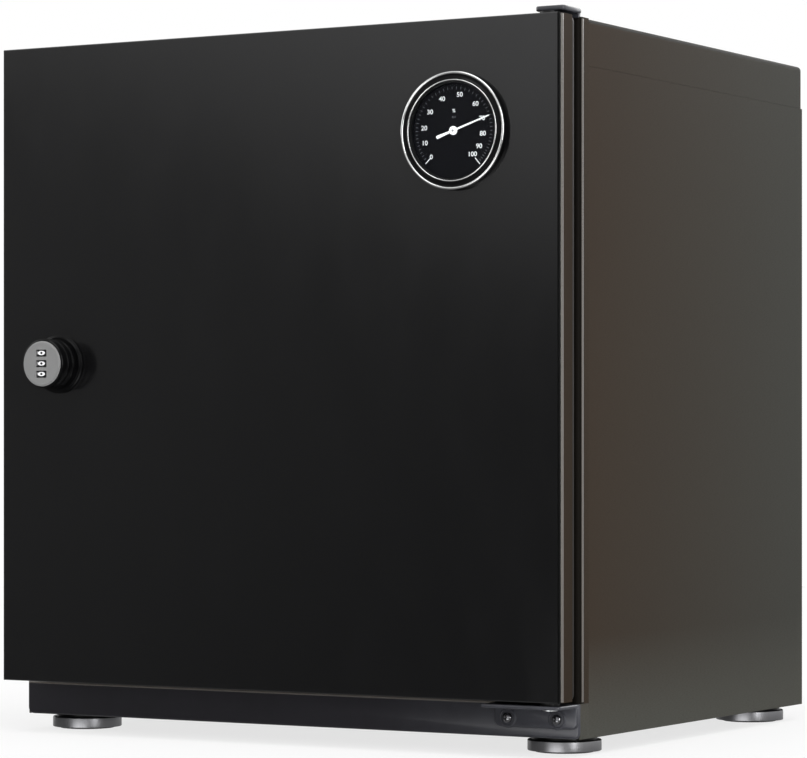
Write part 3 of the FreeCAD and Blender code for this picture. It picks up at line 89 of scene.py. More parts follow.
class Value:
    """A node's output, with arithmetic that adds Math nodes."""

    def __init__(self, graph: "Graph", socket: bpy.types.NodeSocket) -> None:
        """Wraps a socket of a graph."""
        self.graph = graph
        self.socket = socket

    def _maths(self, operation: str, first: object, second: object) -> "Value":
        """Adds one Math node."""
        return self.graph.node("ShaderNodeMath", {"operation": operation}, {0: first, 1: second})

    def __add__(self, other: object) -> "Value":
        """Returns self + other."""
        return self._maths("ADD", self, other)

    __radd__ = __add__

    def __sub__(self, other: object) -> "Value":
        """Returns self - other."""
        return self._maths("SUBTRACT", self, other)

    def __rsub__(self, other: object) -> "Value":
        """Returns other - self."""
        return self._maths("SUBTRACT", other, self)

    def __mul__(self, other: object) -> "Value":
        """Returns self * other."""
        return self._maths("MULTIPLY", self, other)

    __rmul__ = __mul__

    def __truediv__(self, other: object) -> "Value":
        """Returns self / other."""
        return self._maths("DIVIDE", self, other)

    def __pow__(self, other: object) -> "Value":
        """Returns self to the power of other."""
        return self._maths("POWER", self, other)

    def size(self) -> "Value":
        """Returns the value without its sign."""
        return self._maths("ABSOLUTE", self, 0.0)

    def clamped(self, low: float, high: float) -> "Value":
        """Returns the value's way from low to high as 0 to 1, held at both ends."""
        limits = {"From Min": low, "From Max": high}
        return self.graph.node("ShaderNodeMapRange", {"clamp": True}, {"Value": self, **limits})


class Graph:
    """The node tree of one material."""

    def __init__(self, tree: bpy.types.NodeTree) -> None:
        """Starts from an empty tree."""
        self.tree = tree
        self.tree.nodes.clear()

    def node(
        self,
        kind: str,
        settings: dict[str, object] | None = None,
        inputs: dict[str | int, object] | None = None,
        output: str | int = 0,
    ) -> Value:
        """Adds a node, sets it up and links its sockets.

        Args:
            kind: the node's type.
            settings: its properties, and a ramp's stops as (place, colour) pairs.
            inputs: a value or a link for each named or numbered socket.
            output: the socket that is returned.

        Returns:
            The chosen output.
        """
        made = self.tree.nodes.new(kind)
        for name, setting in (settings or {}).items():
            if name != "stops":
                setattr(made, name, setting)
                continue
            elements = made.color_ramp.elements
            while len(elements) < len(setting):
                elements.new(1.0)
            for element, (place, colour) in zip(elements, setting):
                element.position = place
                element.color = (*colour, 1.0)
        for name, given in (inputs or {}).items():
            if isinstance(given, Value):
                self.tree.links.new(given.socket, made.inputs[name])
            elif made.inputs[name].type == "RGBA" and len(given) == 3:
                made.inputs[name].default_value = (*given, 1.0)
            else:
                made.inputs[name].default_value = given
        return Value(self, made.outputs[output])

    def place(self, scale: Colour = (1.0, 1.0, 1.0), centre: Colour = (0.0, 0.0, 0.0)) -> Value:
        """Returns the point on the piece, from a centre and stretched by a scale for each axis."""
        point = self.node("ShaderNodeTexCoord", output="Object")
        moved = self.node("ShaderNodeVectorMath", {"operation": "SUBTRACT"}, {0: point, 1: centre})
        return self.node("ShaderNodeVectorMath", {"operation": "MULTIPLY"}, {0: moved, 1: scale})

    def part(self, point: Value, axis: Axis) -> Value:
        """Returns one part of a point."""
        return self.node("ShaderNodeSeparateXYZ", {}, {0: point}, output=axis.value)

    def noise(self, point: Value, scale: float, detail: float = 3.0, roughness: float = 0.5) -> Value:
        """Returns noise from 0 to 1 about a point."""
        inputs = {"Vector": point, "Scale": scale, "Detail": detail, "Roughness": roughness}
        return self.node("ShaderNodeTexNoise", {}, inputs)

    def mix(self, first: object, second: object, factor: object) -> Value:
        """Returns the colour between two colours."""
        return self.node("ShaderNodeMix", {"data_type": "RGBA"}, {0: factor, 6: first, 7: second}, output=2)

    def bump(self, height: Value, depth: float, before: Value | None = None) -> Value:
        """Returns the normal of a relief.

        Args:
            height: the relief, from 0 to 1.
            depth: its full height in metres.
            before: the normal that it adds to, if any.

        Returns:
            The normal.
        """
        inputs = {"Height": height, "Distance": depth, "Strength": 1.0}
        if before is not None:
            inputs["Normal"] = before
        return self.node("ShaderNodeBump", {}, inputs)

    def shader(self, **inputs: object) -> Value:
        """Returns a Principled shader, its sockets named with _ for a space."""
        named = {name.replace("_", " "): given for name, given in inputs.items()}
        return self.node("ShaderNodeBsdfPrincipled", {}, named)

    def finish(self, surface: Value) -> None:
        """Links the shader to the material's output."""
        self.node_output("ShaderNodeOutputMaterial", surface)

    def node_output(self, kind: str, surface: Value) -> None:
        """Adds an output node of a kind and links the shader to it."""
        made = self.tree.nodes.new(kind)
        self.tree.links.new(surface.socket, made.inputs["Surface"])


# Finishes


# The materials made so far, by their finish's name. The frame's own materials share some of these names.
MADE: dict[str, bpy.types.Material] = {}


@dataclass(frozen=True)
class Finish:
    """What every finish has: the name of its material."""

    name: str

    def material(self) -> bpy.types.Material:
        """Returns the finish's material, made at its first use."""
        if self.name not in MADE:
            made = bpy.data.materials.new(self.name)
            made.use_nodes = True
            self.paint(Graph(made.node_tree))
            MADE[self.name] = made
        return MADE[self.name]

    def paint(self, graph: Graph) -> None:
        """Fills the material's node tree."""
        raise NotImplementedError


@dataclass(frozen=True)
class PaintedSheet(Finish):
    """Painted sheet steel: a satin coat with broad drifts of tone, fine grain and orange peel.

    The tone passes into another one along each fade, a tuple of that tone, an axis and the places
    where the fade starts and ends. The fades paint light and shade into the tone.
    """

    colour: Colour
    drift: Colour
    fades: tuple[tuple[Colour, Axis, float, float], ...] = ()
    coat: float = 0.0
    roughness: float = 0.42
    specular: float = 0.08
    grain: Colour = (350.0, 350.0, 2600.0)
    peel: float = 900.0
    relief: float = 0.000012

    def paint(self, graph: Graph) -> None:
        """Fills the material's node tree."""
        point = graph.place()
        broad = graph.noise(point, 4.0, 4.0)
        lines = graph.noise(graph.place(self.grain), 1.0, 3.0, 0.6)
        peel = graph.noise(point, self.peel, 2.0)
        colour = graph.mix(self.colour, self.drift, broad.clamped(0.3, 0.7))
        # Painted light and shade: each fade lightens or darkens the tone along one axis.
        for far, axis, start, end in self.fades:
            colour = graph.mix(colour, far, graph.part(point, axis).clamped(start, end))
        darker = tuple(part * 0.78 for part in self.colour)
        colour = graph.mix(colour, darker, lines.clamped(0.45, 0.85) * 0.55)
        rough = self.roughness + (broad - 0.5) * 0.12 + (lines - 0.5) * 0.18
        relief = graph.bump(peel, self.relief, graph.bump(lines, self.relief))
        graph.finish(
            graph.shader(
                Base_Color=colour,
                Roughness=rough,
                Normal=relief,
                Specular_IOR_Level=self.specular,
                Coat_Weight=self.coat,
                Coat_Roughness=0.1,
            )
        )


@dataclass(frozen=True)
class DarkPane(Finish):
    """Tinted polished glass: nearly black, with ground edges painted dark as shade, a faint ripple and specks of
    dust.
    """

    colour: Colour
    dust: Colour
    roughness: float = 0.13
    edge: float = 199.3 * MM

    def paint(self, graph: Graph) -> None:
        """Fills the material's node tree."""
        point = graph.place()
        ripple = graph.noise(point, 7.0, 1.0)
        smear = graph.noise(graph.place((30.0, 30.0, 12.0)), 1.0, 5.0, 0.65)
        specks = graph.noise(point, 1400.0, 1.0).clamped(0.78, 0.82)
        colour = graph.mix(self.colour, self.dust, specks * 0.35)
        # Painted shade: past the edge the pane is rougher, as ground glass is. It also turns to a black metal
        # that reflects almost nothing, which paints in a dark edge.
        ground = graph.part(point, Axis.X).size().clamped(self.edge, self.edge + 0.1 * MM)
        rough = self.roughness + smear.clamped(0.4, 0.8) * 0.06 + specks * 0.2 + ground * 0.6
        graph.finish(
            graph.shader(
                Base_Color=graph.mix(colour, (0.006, 0.006, 0.006), ground),
                Metallic=ground,
                Roughness=rough,
                Normal=graph.bump(ripple, 0.00004),
                Specular_IOR_Level=0.5,
            )
        )


@dataclass(frozen=True)
class ClearPane(Finish):
    """Clear glass seen as a faint gloss over what lies behind it."""

    gloss: float = 0.012
    slant: float = 0.25

    def paint(self, graph: Graph) -> None:
        """Fills the material's node tree."""
        smear = graph.noise(graph.place(), 60.0, 4.0, 0.6)
        shine = graph.shader(
            Base_Color=(0.0, 0.0, 0.0),
            Roughness=0.03 + smear.clamped(0.5, 0.8) * 0.08,
            Specular_IOR_Level=1.0,
        )
        facing = graph.node("ShaderNodeFresnel", {}, {"IOR": 1.45})
        clear = graph.node("ShaderNodeBsdfTransparent", {}, {"Color": (0.97, 0.98, 0.98)})
        behind = graph.node("ShaderNodeNewGeometry", output="Backfacing")
        share = (self.gloss + facing * self.slant) * (1.0 - behind)
        graph.finish(graph.node("ShaderNodeMixShader", {}, {0: share, 1: clear, 2: shine}))


@dataclass(frozen=True)
class Metal(Finish):
    """Bare or plated metal with fine drawn lines."""

    colour: Colour
    roughness: float = 0.25
    lines: Colour = (900.0, 900.0, 900.0)
    streak: float = 0.25
    relief: float = 0.000004

    def paint(self, graph: Graph) -> None:
        """Fills the material's node tree."""
        drawn = graph.noise(graph.place(self.lines), 1.0, 4.0, 0.6)
        stain = graph.noise(graph.place(), 45.0, 4.0, 0.6)
        darker = tuple(part * 0.7 for part in self.colour)
        colour = graph.mix(self.colour, darker, stain.clamped(0.45, 0.8) * 0.5)
        rough = self.roughness + (drawn - 0.5) * self.streak + stain.clamped(0.5, 0.9) * 0.1
        graph.finish(
            graph.shader(
                Base_Color=colour,
                Metallic=1.0,
                Roughness=rough,
                Normal=graph.bump(drawn, self.relief),
            )
        )


@dataclass(frozen=True)
class TurnedMetal(Finish):
    """Turned metal: streaks that run along the axis on the rim, by the angle about a centre, and painted shade
    above the shoulder.
    """

    colour: Colour
    centre: Colour
    shoulder: float
    roughness: float = 0.36
    metallic: float = 1.0

    def paint(self, graph: Graph) -> None:
        """Fills the material's node tree."""
        point = graph.place(centre=self.centre)
        across = graph.part(point, Axis.X)
        along = graph.part(point, Axis.Y)
        turn = graph.node("ShaderNodeMath", {"operation": "ARCTAN2"}, {0: along, 1: across})
        spot = graph.node("ShaderNodeCombineXYZ", {}, {0: turn * 60.0, 1: 0.0, 2: 0.0})
        streaks = graph.noise(spot, 1.0, 5.0, 0.7)
        broad = graph.noise(graph.node("ShaderNodeCombineXYZ", {}, {0: turn * 2.2}), 1.0, 2.0)
        darker = tuple(part * 0.55 for part in self.colour)
        wear = streaks.clamped(0.35, 0.75) * 0.5 + broad.clamped(0.5, 0.8) * 0.3
        colour = graph.mix(self.colour, darker, wear)
        # Painted shade: above the shoulder, the neck and top of the foot are near black, as they stand in the
        # shade under the cabinet.
        neck = graph.part(point, Axis.Z).clamped(self.shoulder - 0.2 * MM, self.shoulder + 0.1 * MM)
        colour = graph.mix(colour, (0.01, 0.01, 0.01), neck)
        graph.finish(
            graph.shader(
                Base_Color=colour,
                Metallic=self.metallic,
                Roughness=self.roughness + (streaks - 0.5) * 0.25,
                Normal=graph.bump(streaks, 0.00001),
            )
        )


@dataclass(frozen=True)
class Moulding(Finish):
    """Moulded plastic with a fine spark-eroded grain."""

    colour: Colour
    roughness: float = 0.5
    grain: float = 2600.0
    relief: float = 0.00002
    specular: float = 0.5

    def paint(self, graph: Graph) -> None:
        """Fills the material's node tree."""
        point = graph.place()
        grain = graph.noise(point, self.grain, 3.0, 0.6)
        broad = graph.noise(point, 18.0, 3.0)
        darker = tuple(part * 0.85 for part in self.colour)
        colour = graph.mix(self.colour, darker, broad.clamped(0.35, 0.75))
        graph.finish(
            graph.shader(
                Base_Color=colour,
                Roughness=self.roughness + (grain - 0.5) * 0.2 + (broad - 0.5) * 0.1,
                Normal=graph.bump(grain, self.relief),
                Specular_IOR_Level=self.specular,
            )
        )


@dataclass(frozen=True)
class Foam(Finish):
    """Open-cell foam: round pores of two sizes, their floors darkened as painted shade."""

    colour: Colour
    pore: float = 1100.0

    def paint(self, graph: Graph) -> None:
        """Fills the material's node tree."""
        point = graph.place()
        cells = graph.node("ShaderNodeTexVoronoi", {}, {"Vector": point, "Scale": self.pore})
        large = graph.node("ShaderNodeTexVoronoi", {}, {"Vector": point, "Scale": self.pore * 0.45})
        # Painted shade: the pore floors are darkened where shade falls in them.
        depth = cells.clamped(0.1, 0.6) * large.clamped(0.05, 0.5)
        darker = tuple(part * 0.35 for part in self.colour)
        graph.finish(
            graph.shader(
                Base_Color=graph.mix(darker, self.colour, depth),
                Roughness=0.95,
                Normal=graph.bump(depth, 0.0004),
                Specular_IOR_Level=0.15,
            )
        )


@dataclass(frozen=True)
class Printed(Finish):
    """Satin ink or lacquer: a flat coat with a very fine tooth, and a glow that is painted light where the part
    is no lamp.
    """

    colour: Colour
    roughness: float = 0.45
    glow: float = 0.0
    specular: float = 0.1

    def paint(self, graph: Graph) -> None:
        """Fills the material's node tree."""
        tooth = graph.noise(graph.place(), 5200.0, 2.0)
        patch = graph.noise(graph.place(), 140.0, 3.0)
        darker = tuple(part * 0.82 for part in self.colour)
        graph.finish(
            graph.shader(
                Base_Color=graph.mix(self.colour, darker, patch.clamped(0.4, 0.8)),
                Roughness=self.roughness + (tooth - 0.5) * 0.15,
                Normal=graph.bump(tooth, 0.000006),
                Specular_IOR_Level=self.specular,
                Emission_Color=self.colour,
                Emission_Strength=self.glow,
            )
        )


@dataclass(frozen=True)
class CircuitBoard(Finish):
    """Green lacquered board with thin copper tracks seen through the lacquer."""

    colour: Colour
    track: Colour

    def paint(self, graph: Graph) -> None:
        """Fills the material's node tree."""
        point = graph.place((160.0, 160.0, 420.0))
        inputs = {"Vector": point, "Scale": 1.0, "Mortar Size": 0.09}
        bricks = graph.node("ShaderNodeTexBrick", {}, inputs, output=1)
        grain = graph.noise(graph.place(), 900.0, 3.0)
        graph.finish(
            graph.shader(
                Base_Color=graph.mix(self.colour, self.track, bricks * 0.6),
                Roughness=0.3 + (grain - 0.5) * 0.2,
                Normal=graph.bump(bricks, 0.00003),
            )
        )


@dataclass(frozen=True)
class WovenPack(Finish):
    """White non-woven cloth over beads, with a dimpled weave."""

    colour: Colour

    def paint(self, graph: Graph) -> None:
        """Fills the material's node tree."""
        beads = graph.node("ShaderNodeTexVoronoi", {}, {"Vector": graph.place(), "Scale": 330.0})
        fibre = graph.noise(graph.place((900.0, 900.0, 5200.0)), 1.0, 4.0, 0.7)
        darker = tuple(part * 0.7 for part in self.colour)
        relief = graph.bump(fibre, 0.00005, graph.bump(beads, 0.0006))
        graph.finish(
            graph.shader(
                Base_Color=graph.mix(self.colour, darker, fibre.clamped(0.4, 0.8)),
                Roughness=0.9,
                Normal=relief,
            )
        )


SIDE_PAINT_AND_PAINTED_LIGHT = PaintedSheet(
    "side_paint_and_painted_light",
    shade(54, 45, 37),
    shade(57, 49, 41),
    # Painted light: the fades are painted shading that goes from brown at the front to grey at the rear, standing
    # in for the sides' changing reflection; a paler band near the floor, which is painted floor bounce; and
    # painted shade that darkens the top cover.
    fades=(
        (shade(62, 62, 58), Axis.Y, -0.13, 0.16),
        (shade(76, 76, 71), Axis.Z, 0.07, 0.014),
        (shade(20, 19, 14), Axis.Z, 0.4322, 0.4328),
    ),
    specular=0.02,
)
# Painted shade: the face frame is near black at its front, because the gap behind the door is shaded. Further
# back, its returns take the sides' colour.
FRAME_PAINT_AND_PAINTED_SHADE = PaintedSheet(
    "frame_paint_and_painted_shade",
    shade(20, 18, 16),
    shade(24, 22, 19),
    fades=((shade(55, 47, 39), Axis.Y, -0.1386, -0.138),),
    specular=0.02,
)
INSIDE_PAINT = PaintedSheet("inside_paint", shade(44, 42, 40), shade(52, 50, 47), roughness=0.5)
DOOR_PAINT = PaintedSheet("door_paint", shade(46, 37, 29), shade(49, 41, 33), roughness=0.4, specular=0.02)
# Partly painted highlight: the folds, the door's edge beads and the plinth's hem are round and coated, so they
# catch real light. They are also a paler paint than their sheets, which stands in for that highlight.
EDGE_PAINT_AND_PAINTED_HIGHLIGHT = PaintedSheet(
    "edge_paint_and_painted_highlight",
    shade(84, 78, 72),
    shade(92, 86, 80),
    roughness=0.3,
    specular=0.5,
    coat=1.0,
)
# Painted reflection: the plinth and the brackets grow paler towards the right, which stands in for the light they
# reflect there.
FRONT_PAINT_AND_PAINTED_REFLECTION = PaintedSheet(
    "front_paint_and_painted_reflection",
    shade(34, 33, 38),
    shade(38, 37, 42),
    fades=((shade(66, 67, 73), Axis.X, 0.06, 0.21),),
    coat=0.5,
    roughness=0.35,
    specular=0.12,
    grain=(60.0, 60.0, 60.0),
    relief=0.000006,
)
RIM_TRIM = Moulding("rim_trim", shade(34, 32, 29), roughness=0.42, specular=0.15)
BLACK_GLASS = DarkPane("black_glass", shade(14, 14, 15), shade(70, 70, 70))
CLEAR_GLASS = ClearPane("clear_glass")
BRIGHT_METAL = Metal("bright_metal", (0.6, 0.6, 0.6), roughness=0.16, streak=0.12)
DARK_METAL = Metal("dark_metal", (0.2, 0.2, 0.21), roughness=0.16, streak=0.1)
ZINC = Metal("zinc", (0.52, 0.53, 0.54), roughness=0.36, lines=(300.0, 300.0, 40.0))
COPPER = Metal("copper", (0.72, 0.4, 0.24), roughness=0.3)
STEEL_WIRE = Metal("steel_wire", (0.6, 0.6, 0.61), roughness=0.25)
GLOSS_BLACK = Moulding(
    "gloss_black",
    shade(9, 9, 10),
    roughness=0.16,
    grain=900.0,
    relief=0.000004,
    specular=0.1,
)
SATIN_BLACK = Moulding("satin_black", shade(20, 20, 21), roughness=0.42, specular=0.25)
LOCK_GREY = Moulding("lock_grey", shade(138, 138, 138), roughness=0.6, relief=0.00001, specular=0.15)
WHITE_PLASTIC = Moulding("white_plastic", shade(206, 205, 199), roughness=0.48)
GREY_PLASTIC = Moulding("grey_plastic", shade(92, 92, 95), roughness=0.45)
RUBBER = Moulding("rubber", shade(22, 22, 22), roughness=0.75, grain=1500.0, relief=0.00004)
GREY_FOAM = Foam("grey_foam", shade(62, 62, 66))
DIAL_INK = Printed("dial_ink", shade(5, 5, 11), roughness=0.5)
# Painted light: the white ink glows, though it is no lamp.
GLOWING_WHITE_INK = Printed("glowing_white_ink", shade(236, 236, 238), glow=0.25)
DIM_INK = Printed("dim_ink", shade(118, 118, 124))
# Painted light: the pointer glows, though it is no lamp.
GLOWING_POINTER_WHITE = Printed("pointer_white", shade(250, 250, 250), roughness=0.35, glow=0.45)
BOARD = CircuitBoard("board", shade(14, 74, 40), shade(58, 120, 62))
LAMP = Printed("lamp", shade(70, 200, 90), roughness=0.15, glow=1.2)
PACK_CLOTH = WovenPack("pack_cloth", shade(226, 225, 216))


# Surfaces


def rounded(corners: Section, steps: int = 6, closed: bool = False) -> np.ndarray:
    """Returns a profile with its corners rounded.

    A corner's arc touches both of its edges. Its tangent length is the radius divided by the tangent
    of half the angle between them, and its centre lies on the angle's middle line.

    Args:
        corners: points as (first, second, radius).
        steps: runs in each arc.
        closed: whether the last corner joins the first.

    Returns:
        The points, one row each.
    """
    spots = np.array([corner[:2] for corner in corners], float)
    rows = []
    last = len(corners) - 1
    for number, (spot, corner) in enumerate(zip(spots, corners)):
        radius = corner[2]
        if radius <= 0 or (not closed and number in (0, last)):
            rows.append(spot[None])
            continue
        before = spots[number - 1] - spot
        after = spots[(number + 1) % len(corners)] - spot
        before /= np.linalg.norm(before)
        after /= np.linalg.norm(after)
        half = math.acos(float(np.clip(before @ after, -1, 1))) / 2
        if math.pi / 2 - half < 1e-4:
            rows.append(spot[None])
            continue
        middle = before + after
        centre = spot + middle / np.linalg.norm(middle) * radius / math.sin(half)
        start = spot + before * radius / math.tan(half) - centre
        end = spot + after * radius / math.tan(half) - centre
        spread = math.pi - 2 * half
        share = np.linspace(0, 1, steps + 1)[:, None]
        arc = np.sin((1 - share) * spread) * start + np.sin(share * spread) * end
        rows.append(centre + arc / math.sin(spread))
    return np.concatenate(rows)


def rounded_rectangle(
    half_width: float, half_height: float, corner: np.ndarray | float, steps: int = 6
) -> np.ndarray:
    """Returns the outline of a rectangle with round corners about the origin, anticlockwise.

    Args:
        half_width: half its width.
        half_height: half its height.
        corner: one radius, or four from the upper right corner on.
        steps: runs in each corner.

    Returns:
        The points, one row each.
    """
    radii = np.maximum(np.broadcast_to(corner, 4), 1e-5)[:, None]
    turns = np.linspace(0, math.pi / 2, steps + 1)
    quarters = np.arange(4)[:, None] * math.pi / 2 + turns[None]
    signs = np.array([(1, 1), (-1, 1), (-1, -1), (1, -1)], float)
    centres = signs * (np.array([half_width, half_height]) - radii)
    arcs = radii[..., None] * np.stack([np.cos(quarters), np.sin(quarters)], axis=-1)
    return (centres[:, None] + arcs).reshape(-1, 2)


def turned(profile: np.ndarray, segments: int = 96) -> np.ndarray:
    """Returns the grid of a profile turned about the third axis.

    A point (radius, height) at turn t lies at (radius * cos t, radius * sin t, height).
    """
    turns = np.linspace(0, 2 * math.pi, segments, endpoint=False)
    radius = profile[:, :1]
    heights = np.broadcast_to(profile[:, 1:2], (len(profile), segments))
    return np.stack([radius * np.cos(turns), radius * np.sin(turns), heights], axis=-1)


def seat(points: np.ndarray, axis: Axis, centre: tuple[float, float, float]) -> np.ndarray:
    """Turns local points so that their third axis lies on a frame axis, and moves them to a centre.

    On Y the local third axis points to the front, against Y, and the second stays up.
    """
    first, second, third = points[..., 0], points[..., 1], points[..., 2]
    if axis is Axis.Z:
        placed = np.stack([first, second, third], axis=-1)
    elif axis is Axis.Y:
        placed = np.stack([first, -third, second], axis=-1)
    else:
        placed = np.stack([third, first, second], axis=-1)
    return placed + np.array(centre)


class Shape:
    """The points and faces of one piece, gathered from grids and caps."""

    def __init__(self) -> None:
        """Starts empty."""
        self.points: list[np.ndarray] = []
        self.faces: list[list[int]] = []
        self.count = 0

    def grid(self, points: np.ndarray, closed_rows: bool = False, closed_columns: bool = True) -> "Shape":
        """Adds a grid of points as quads.

        Args:
            points: the grid, as rows by columns by three.
            closed_rows: whether the last row joins the first.
            closed_columns: whether the last column joins the first.

        Returns:
            The shape itself.
        """
        rows, columns = points.shape[:2]
        index = np.arange(rows * columns).reshape(rows, columns) + self.count
        lower = index if closed_rows else index[:-1]
        upper = np.roll(index, -1, axis=0) if closed_rows else index[1:]
        if closed_columns:
            corners = (lower, np.roll(lower, -1, axis=1), np.roll(upper, -1, axis=1), upper)
        else:
            corners = (lower[:, :-1], lower[:, 1:], upper[:, 1:], upper[:, :-1])
        self.faces += np.stack(corners, axis=-1).reshape(-1, 4).tolist()
        self.points.append(points.reshape(-1, 3))
        self.count += rows * columns
        return self

    def cap(self, ring: np.ndarray) -> "Shape":
        """Adds one flat face over a ring of points."""
        self.faces.append(list(range(self.count, self.count + len(ring))))
        self.points.append(ring)
        self.count += len(ring)
        return self

    def capped(self, grid: np.ndarray) -> "Shape":
        """Adds a tube of rows and closes both of its ends with flat faces."""
        return self.grid(grid).cap(grid[0]).cap(grid[-1])

    def piece(self, name: str, body: str, finish: Finish, slot: str, crease: float = 32.0) -> bpy.types.Object:
        """Makes the piece, with seams merged and faces outward, and lets it ride on its body.

        Args:
            name: the piece's name.
            body: the body that carries it.
            finish: what it is made of.
            slot: the record's slot for that finish; not used.
            crease: the angle in degrees past which an edge stays sharp.

        Returns:
            The piece.
        """
        mesh = bpy.data.meshes.new(name)
        mesh.from_pydata(np.concatenate(self.points).tolist(), [], self.faces)
        work = bmesh.new()
        work.from_mesh(mesh)
        bmesh.ops.remove_doubles(work, verts=work.verts, dist=1e-6)
        bmesh.ops.recalc_face_normals(work, faces=work.faces)
        work.to_mesh(mesh)
        work.free()
        return settle(name, mesh, body, finish, crease)


def settle(
    name: str, mesh: bpy.types.Mesh, body: str, finish: Finish, crease: float
) -> bpy.types.Object:
    """Makes a mesh a piece that rides on a body, and reports it."""
    mesh.shade_smooth()
    mesh.set_sharp_from_angle(angle=math.radians(crease))
    mesh.materials.clear()
    mesh.materials.append(finish.material())
    made = bpy.data.objects.new(name, mesh)
    bpy.context.scene.collection.objects.link(made)
    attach(made, body)
    log.info("%s rides on %s, %d faces", name, body, len(mesh.polygons))
    return made


def turned_piece(shape: Shape, profile: np.ndarray, axis: Axis, centre: Colour, segments: int = 96) -> Shape:
    """Adds a turned solid to a shape: closed at its poles where the profile starts and ends on the axis."""
    local = seat(turned(profile, segments), axis, centre)
    on_axis = profile[0, 0] < 1e-7, profile[-1, 0] < 1e-7
    if on_axis == (False, False):
        return shape.grid(local, closed_rows=True)
    return shape.capped(local[1:-1])


def slab(
    shape: Shape,
    centre: tuple[float, float, float],
    half_size: tuple[float, float, float],
    axis: Axis,
    corner: float | tuple[float, float, float, float],
    edge: float,
) -> Shape:
    """Adds a plate with round corners and rounded edges.

    Its outline is carried through the thickness, and at the turn t of a rounded edge it lies inset by
    edge * (1 - sin t) and edge * (1 - cos t) inside the face.

    Args:
        shape: what it is added to.
        centre: the plate's middle.
        half_size: half its extent across, up and through, in the plate's own axes.
        axis: the frame axis that runs through the plate.
        corner: radius of the outline's corners, one for all or four from the upper right on.
        edge: radius of the edges.

    Returns:
        The shape.
    """
    across, up, through = half_size
    turns = np.linspace(0, math.pi / 2, 5)
    inset = edge * (1 - np.sin(turns))
    height = through - edge * (1 - np.cos(turns))
    rows = [(shift, level) for shift, level in zip(inset, height)]
    rows += [(shift, -level) for shift, level in reversed(rows)]
    grid = []
    for shift, level in rows:
        outline = rounded_rectangle(across - shift, up - shift, np.array(corner) - shift)
        grid.append(np.column_stack([outline, np.full(len(outline), level)]))
    return shape.capped(seat(np.array(grid), axis, centre))


def half_round(
    shape: Shape, side: int, edge: float, middle: float, ends: tuple[float, float], radius: float, stand: float
) -> Shape:
    """Adds the part of an upright round bar that stands out of a side wall.

    Args:
        shape: what it is added to.
        side: -1 for the left wall, 1 for the right one.
        edge: the wall's place in X.
        middle: the bar's axis in Y.
        ends: its lower and upper end.
        radius: the bar's radius.
        stand: how far it stands out.

    Returns:
        The shape.
    """
    reach = math.acos(1 - stand / radius)
    turns = np.linspace(-reach, reach, 13)
    across = np.append(edge + side * (radius * np.cos(turns) - radius + stand), edge - side * 0.3 * MM)
    along = np.append(middle + radius * np.sin(turns), middle)
    rows = [np.column_stack([across, along, np.full(14, up)]) for up in ends]
    return shape.capped(np.array(rows))


def ring_frame(
    shape: Shape,
    centre: tuple[float, float, float],
    half_width: float,
    half_height: float,
    corner: float,
    section: np.ndarray,
) -> Shape:
    """Adds a frame about Y: a closed section carried round a rectangle with round corners.

    Args:
        shape: what it is added to.
        centre: the middle of the rectangle.
        half_width: half the outer width.
        half_height: half the outer height.
        corner: radius of the outer corners.
        section: points as (inset from the outer outline, distance to the front).

    Returns:
        The shape.
    """
    rows = []
    for inset, front in section:
        outline = rounded_rectangle(half_width - inset, half_height - inset, corner - inset, steps=8)
        rows.append(np.column_stack([outline, np.full(len(outline), front)]))
    return shape.grid(seat(np.array(rows), Axis.Y, centre), closed_rows=True)


def lettering(
    text: str, height: float, weight: float = 0.0, wide: float = 1.0, depth: float = 0.05 * MM
) -> bpy.types.Mesh:
    """Returns raised characters centred on the origin, in X and Y with their faces towards Z.

    Args:
        text: the characters.
        height: the height of a numeral.
        weight: how far the strokes are thickened.
        wide: the stretch across.
        depth: how far they stand out.

    Returns:
        The mesh.
    """
    curve = bpy.data.curves.new("lettering", "FONT")
    curve.body = text
    curve.size = height / 0.7
    curve.offset = weight
    curve.extrude = depth / 2
    curve.align_x = "CENTER"
    curve.align_y = "CENTER"
    curve.resolution_u = 4
    writer = bpy.data.objects.new("lettering", curve)
    bpy.context.scene.collection.objects.link(writer)
    bpy.context.view_layer.update()
    mesh = bpy.data.meshes.new_from_object(writer.evaluated_get(bpy.context.evaluated_depsgraph_get()))
    bpy.data.objects.remove(writer)
    bpy.data.curves.remove(curve)
    mesh.transform(Matrix.Diagonal((wide, 1.0, 1.0, 1.0)))
    return mesh


def gather(meshes: list[bpy.types.Mesh], name: str) -> bpy.types.Mesh:
    """Returns one mesh of several."""
    work = bmesh.new()
    for mesh in meshes:
        work.from_mesh(mesh)
        bpy.data.meshes.remove(mesh)
    bmesh.ops.remove_doubles(work, verts=work.verts, dist=1e-7)
    joined = bpy.data.meshes.new(name)
    work.to_mesh(joined)
    work.free()
    return joined


def box_of(node: str) -> tuple[np.ndarray, np.ndarray]:
    """Returns a node's lowest and highest corners as arrays."""
    low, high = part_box(node)
    return np.array(low), np.array(high)


def dress(finish: Finish, *nodes: str) -> None:
    """Gives CAD nodes their finish."""
    for node in nodes:
        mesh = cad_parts[node].data
        mesh.materials.clear()
        mesh.materials.append(finish.material())
        log.info("%s keeps its solid, in %s", node, finish.name)


def soften(width: float, *nodes: str) -> None:
    """Rounds the sharp edges of CAD nodes, on top of their meshes."""
    for node in nodes:
        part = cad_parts[node]
        weld = part.modifiers.new("weld", "WELD")
        weld.merge_threshold = 0.00001
        bevel = part.modifiers.new("edges", "BEVEL")
        bevel.width = width
        bevel.segments = 2
        bevel.limit_method = "ANGLE"
        bevel.angle_limit = math.radians(40)
        bevel.harden_normals = False


# Sub-assemblies


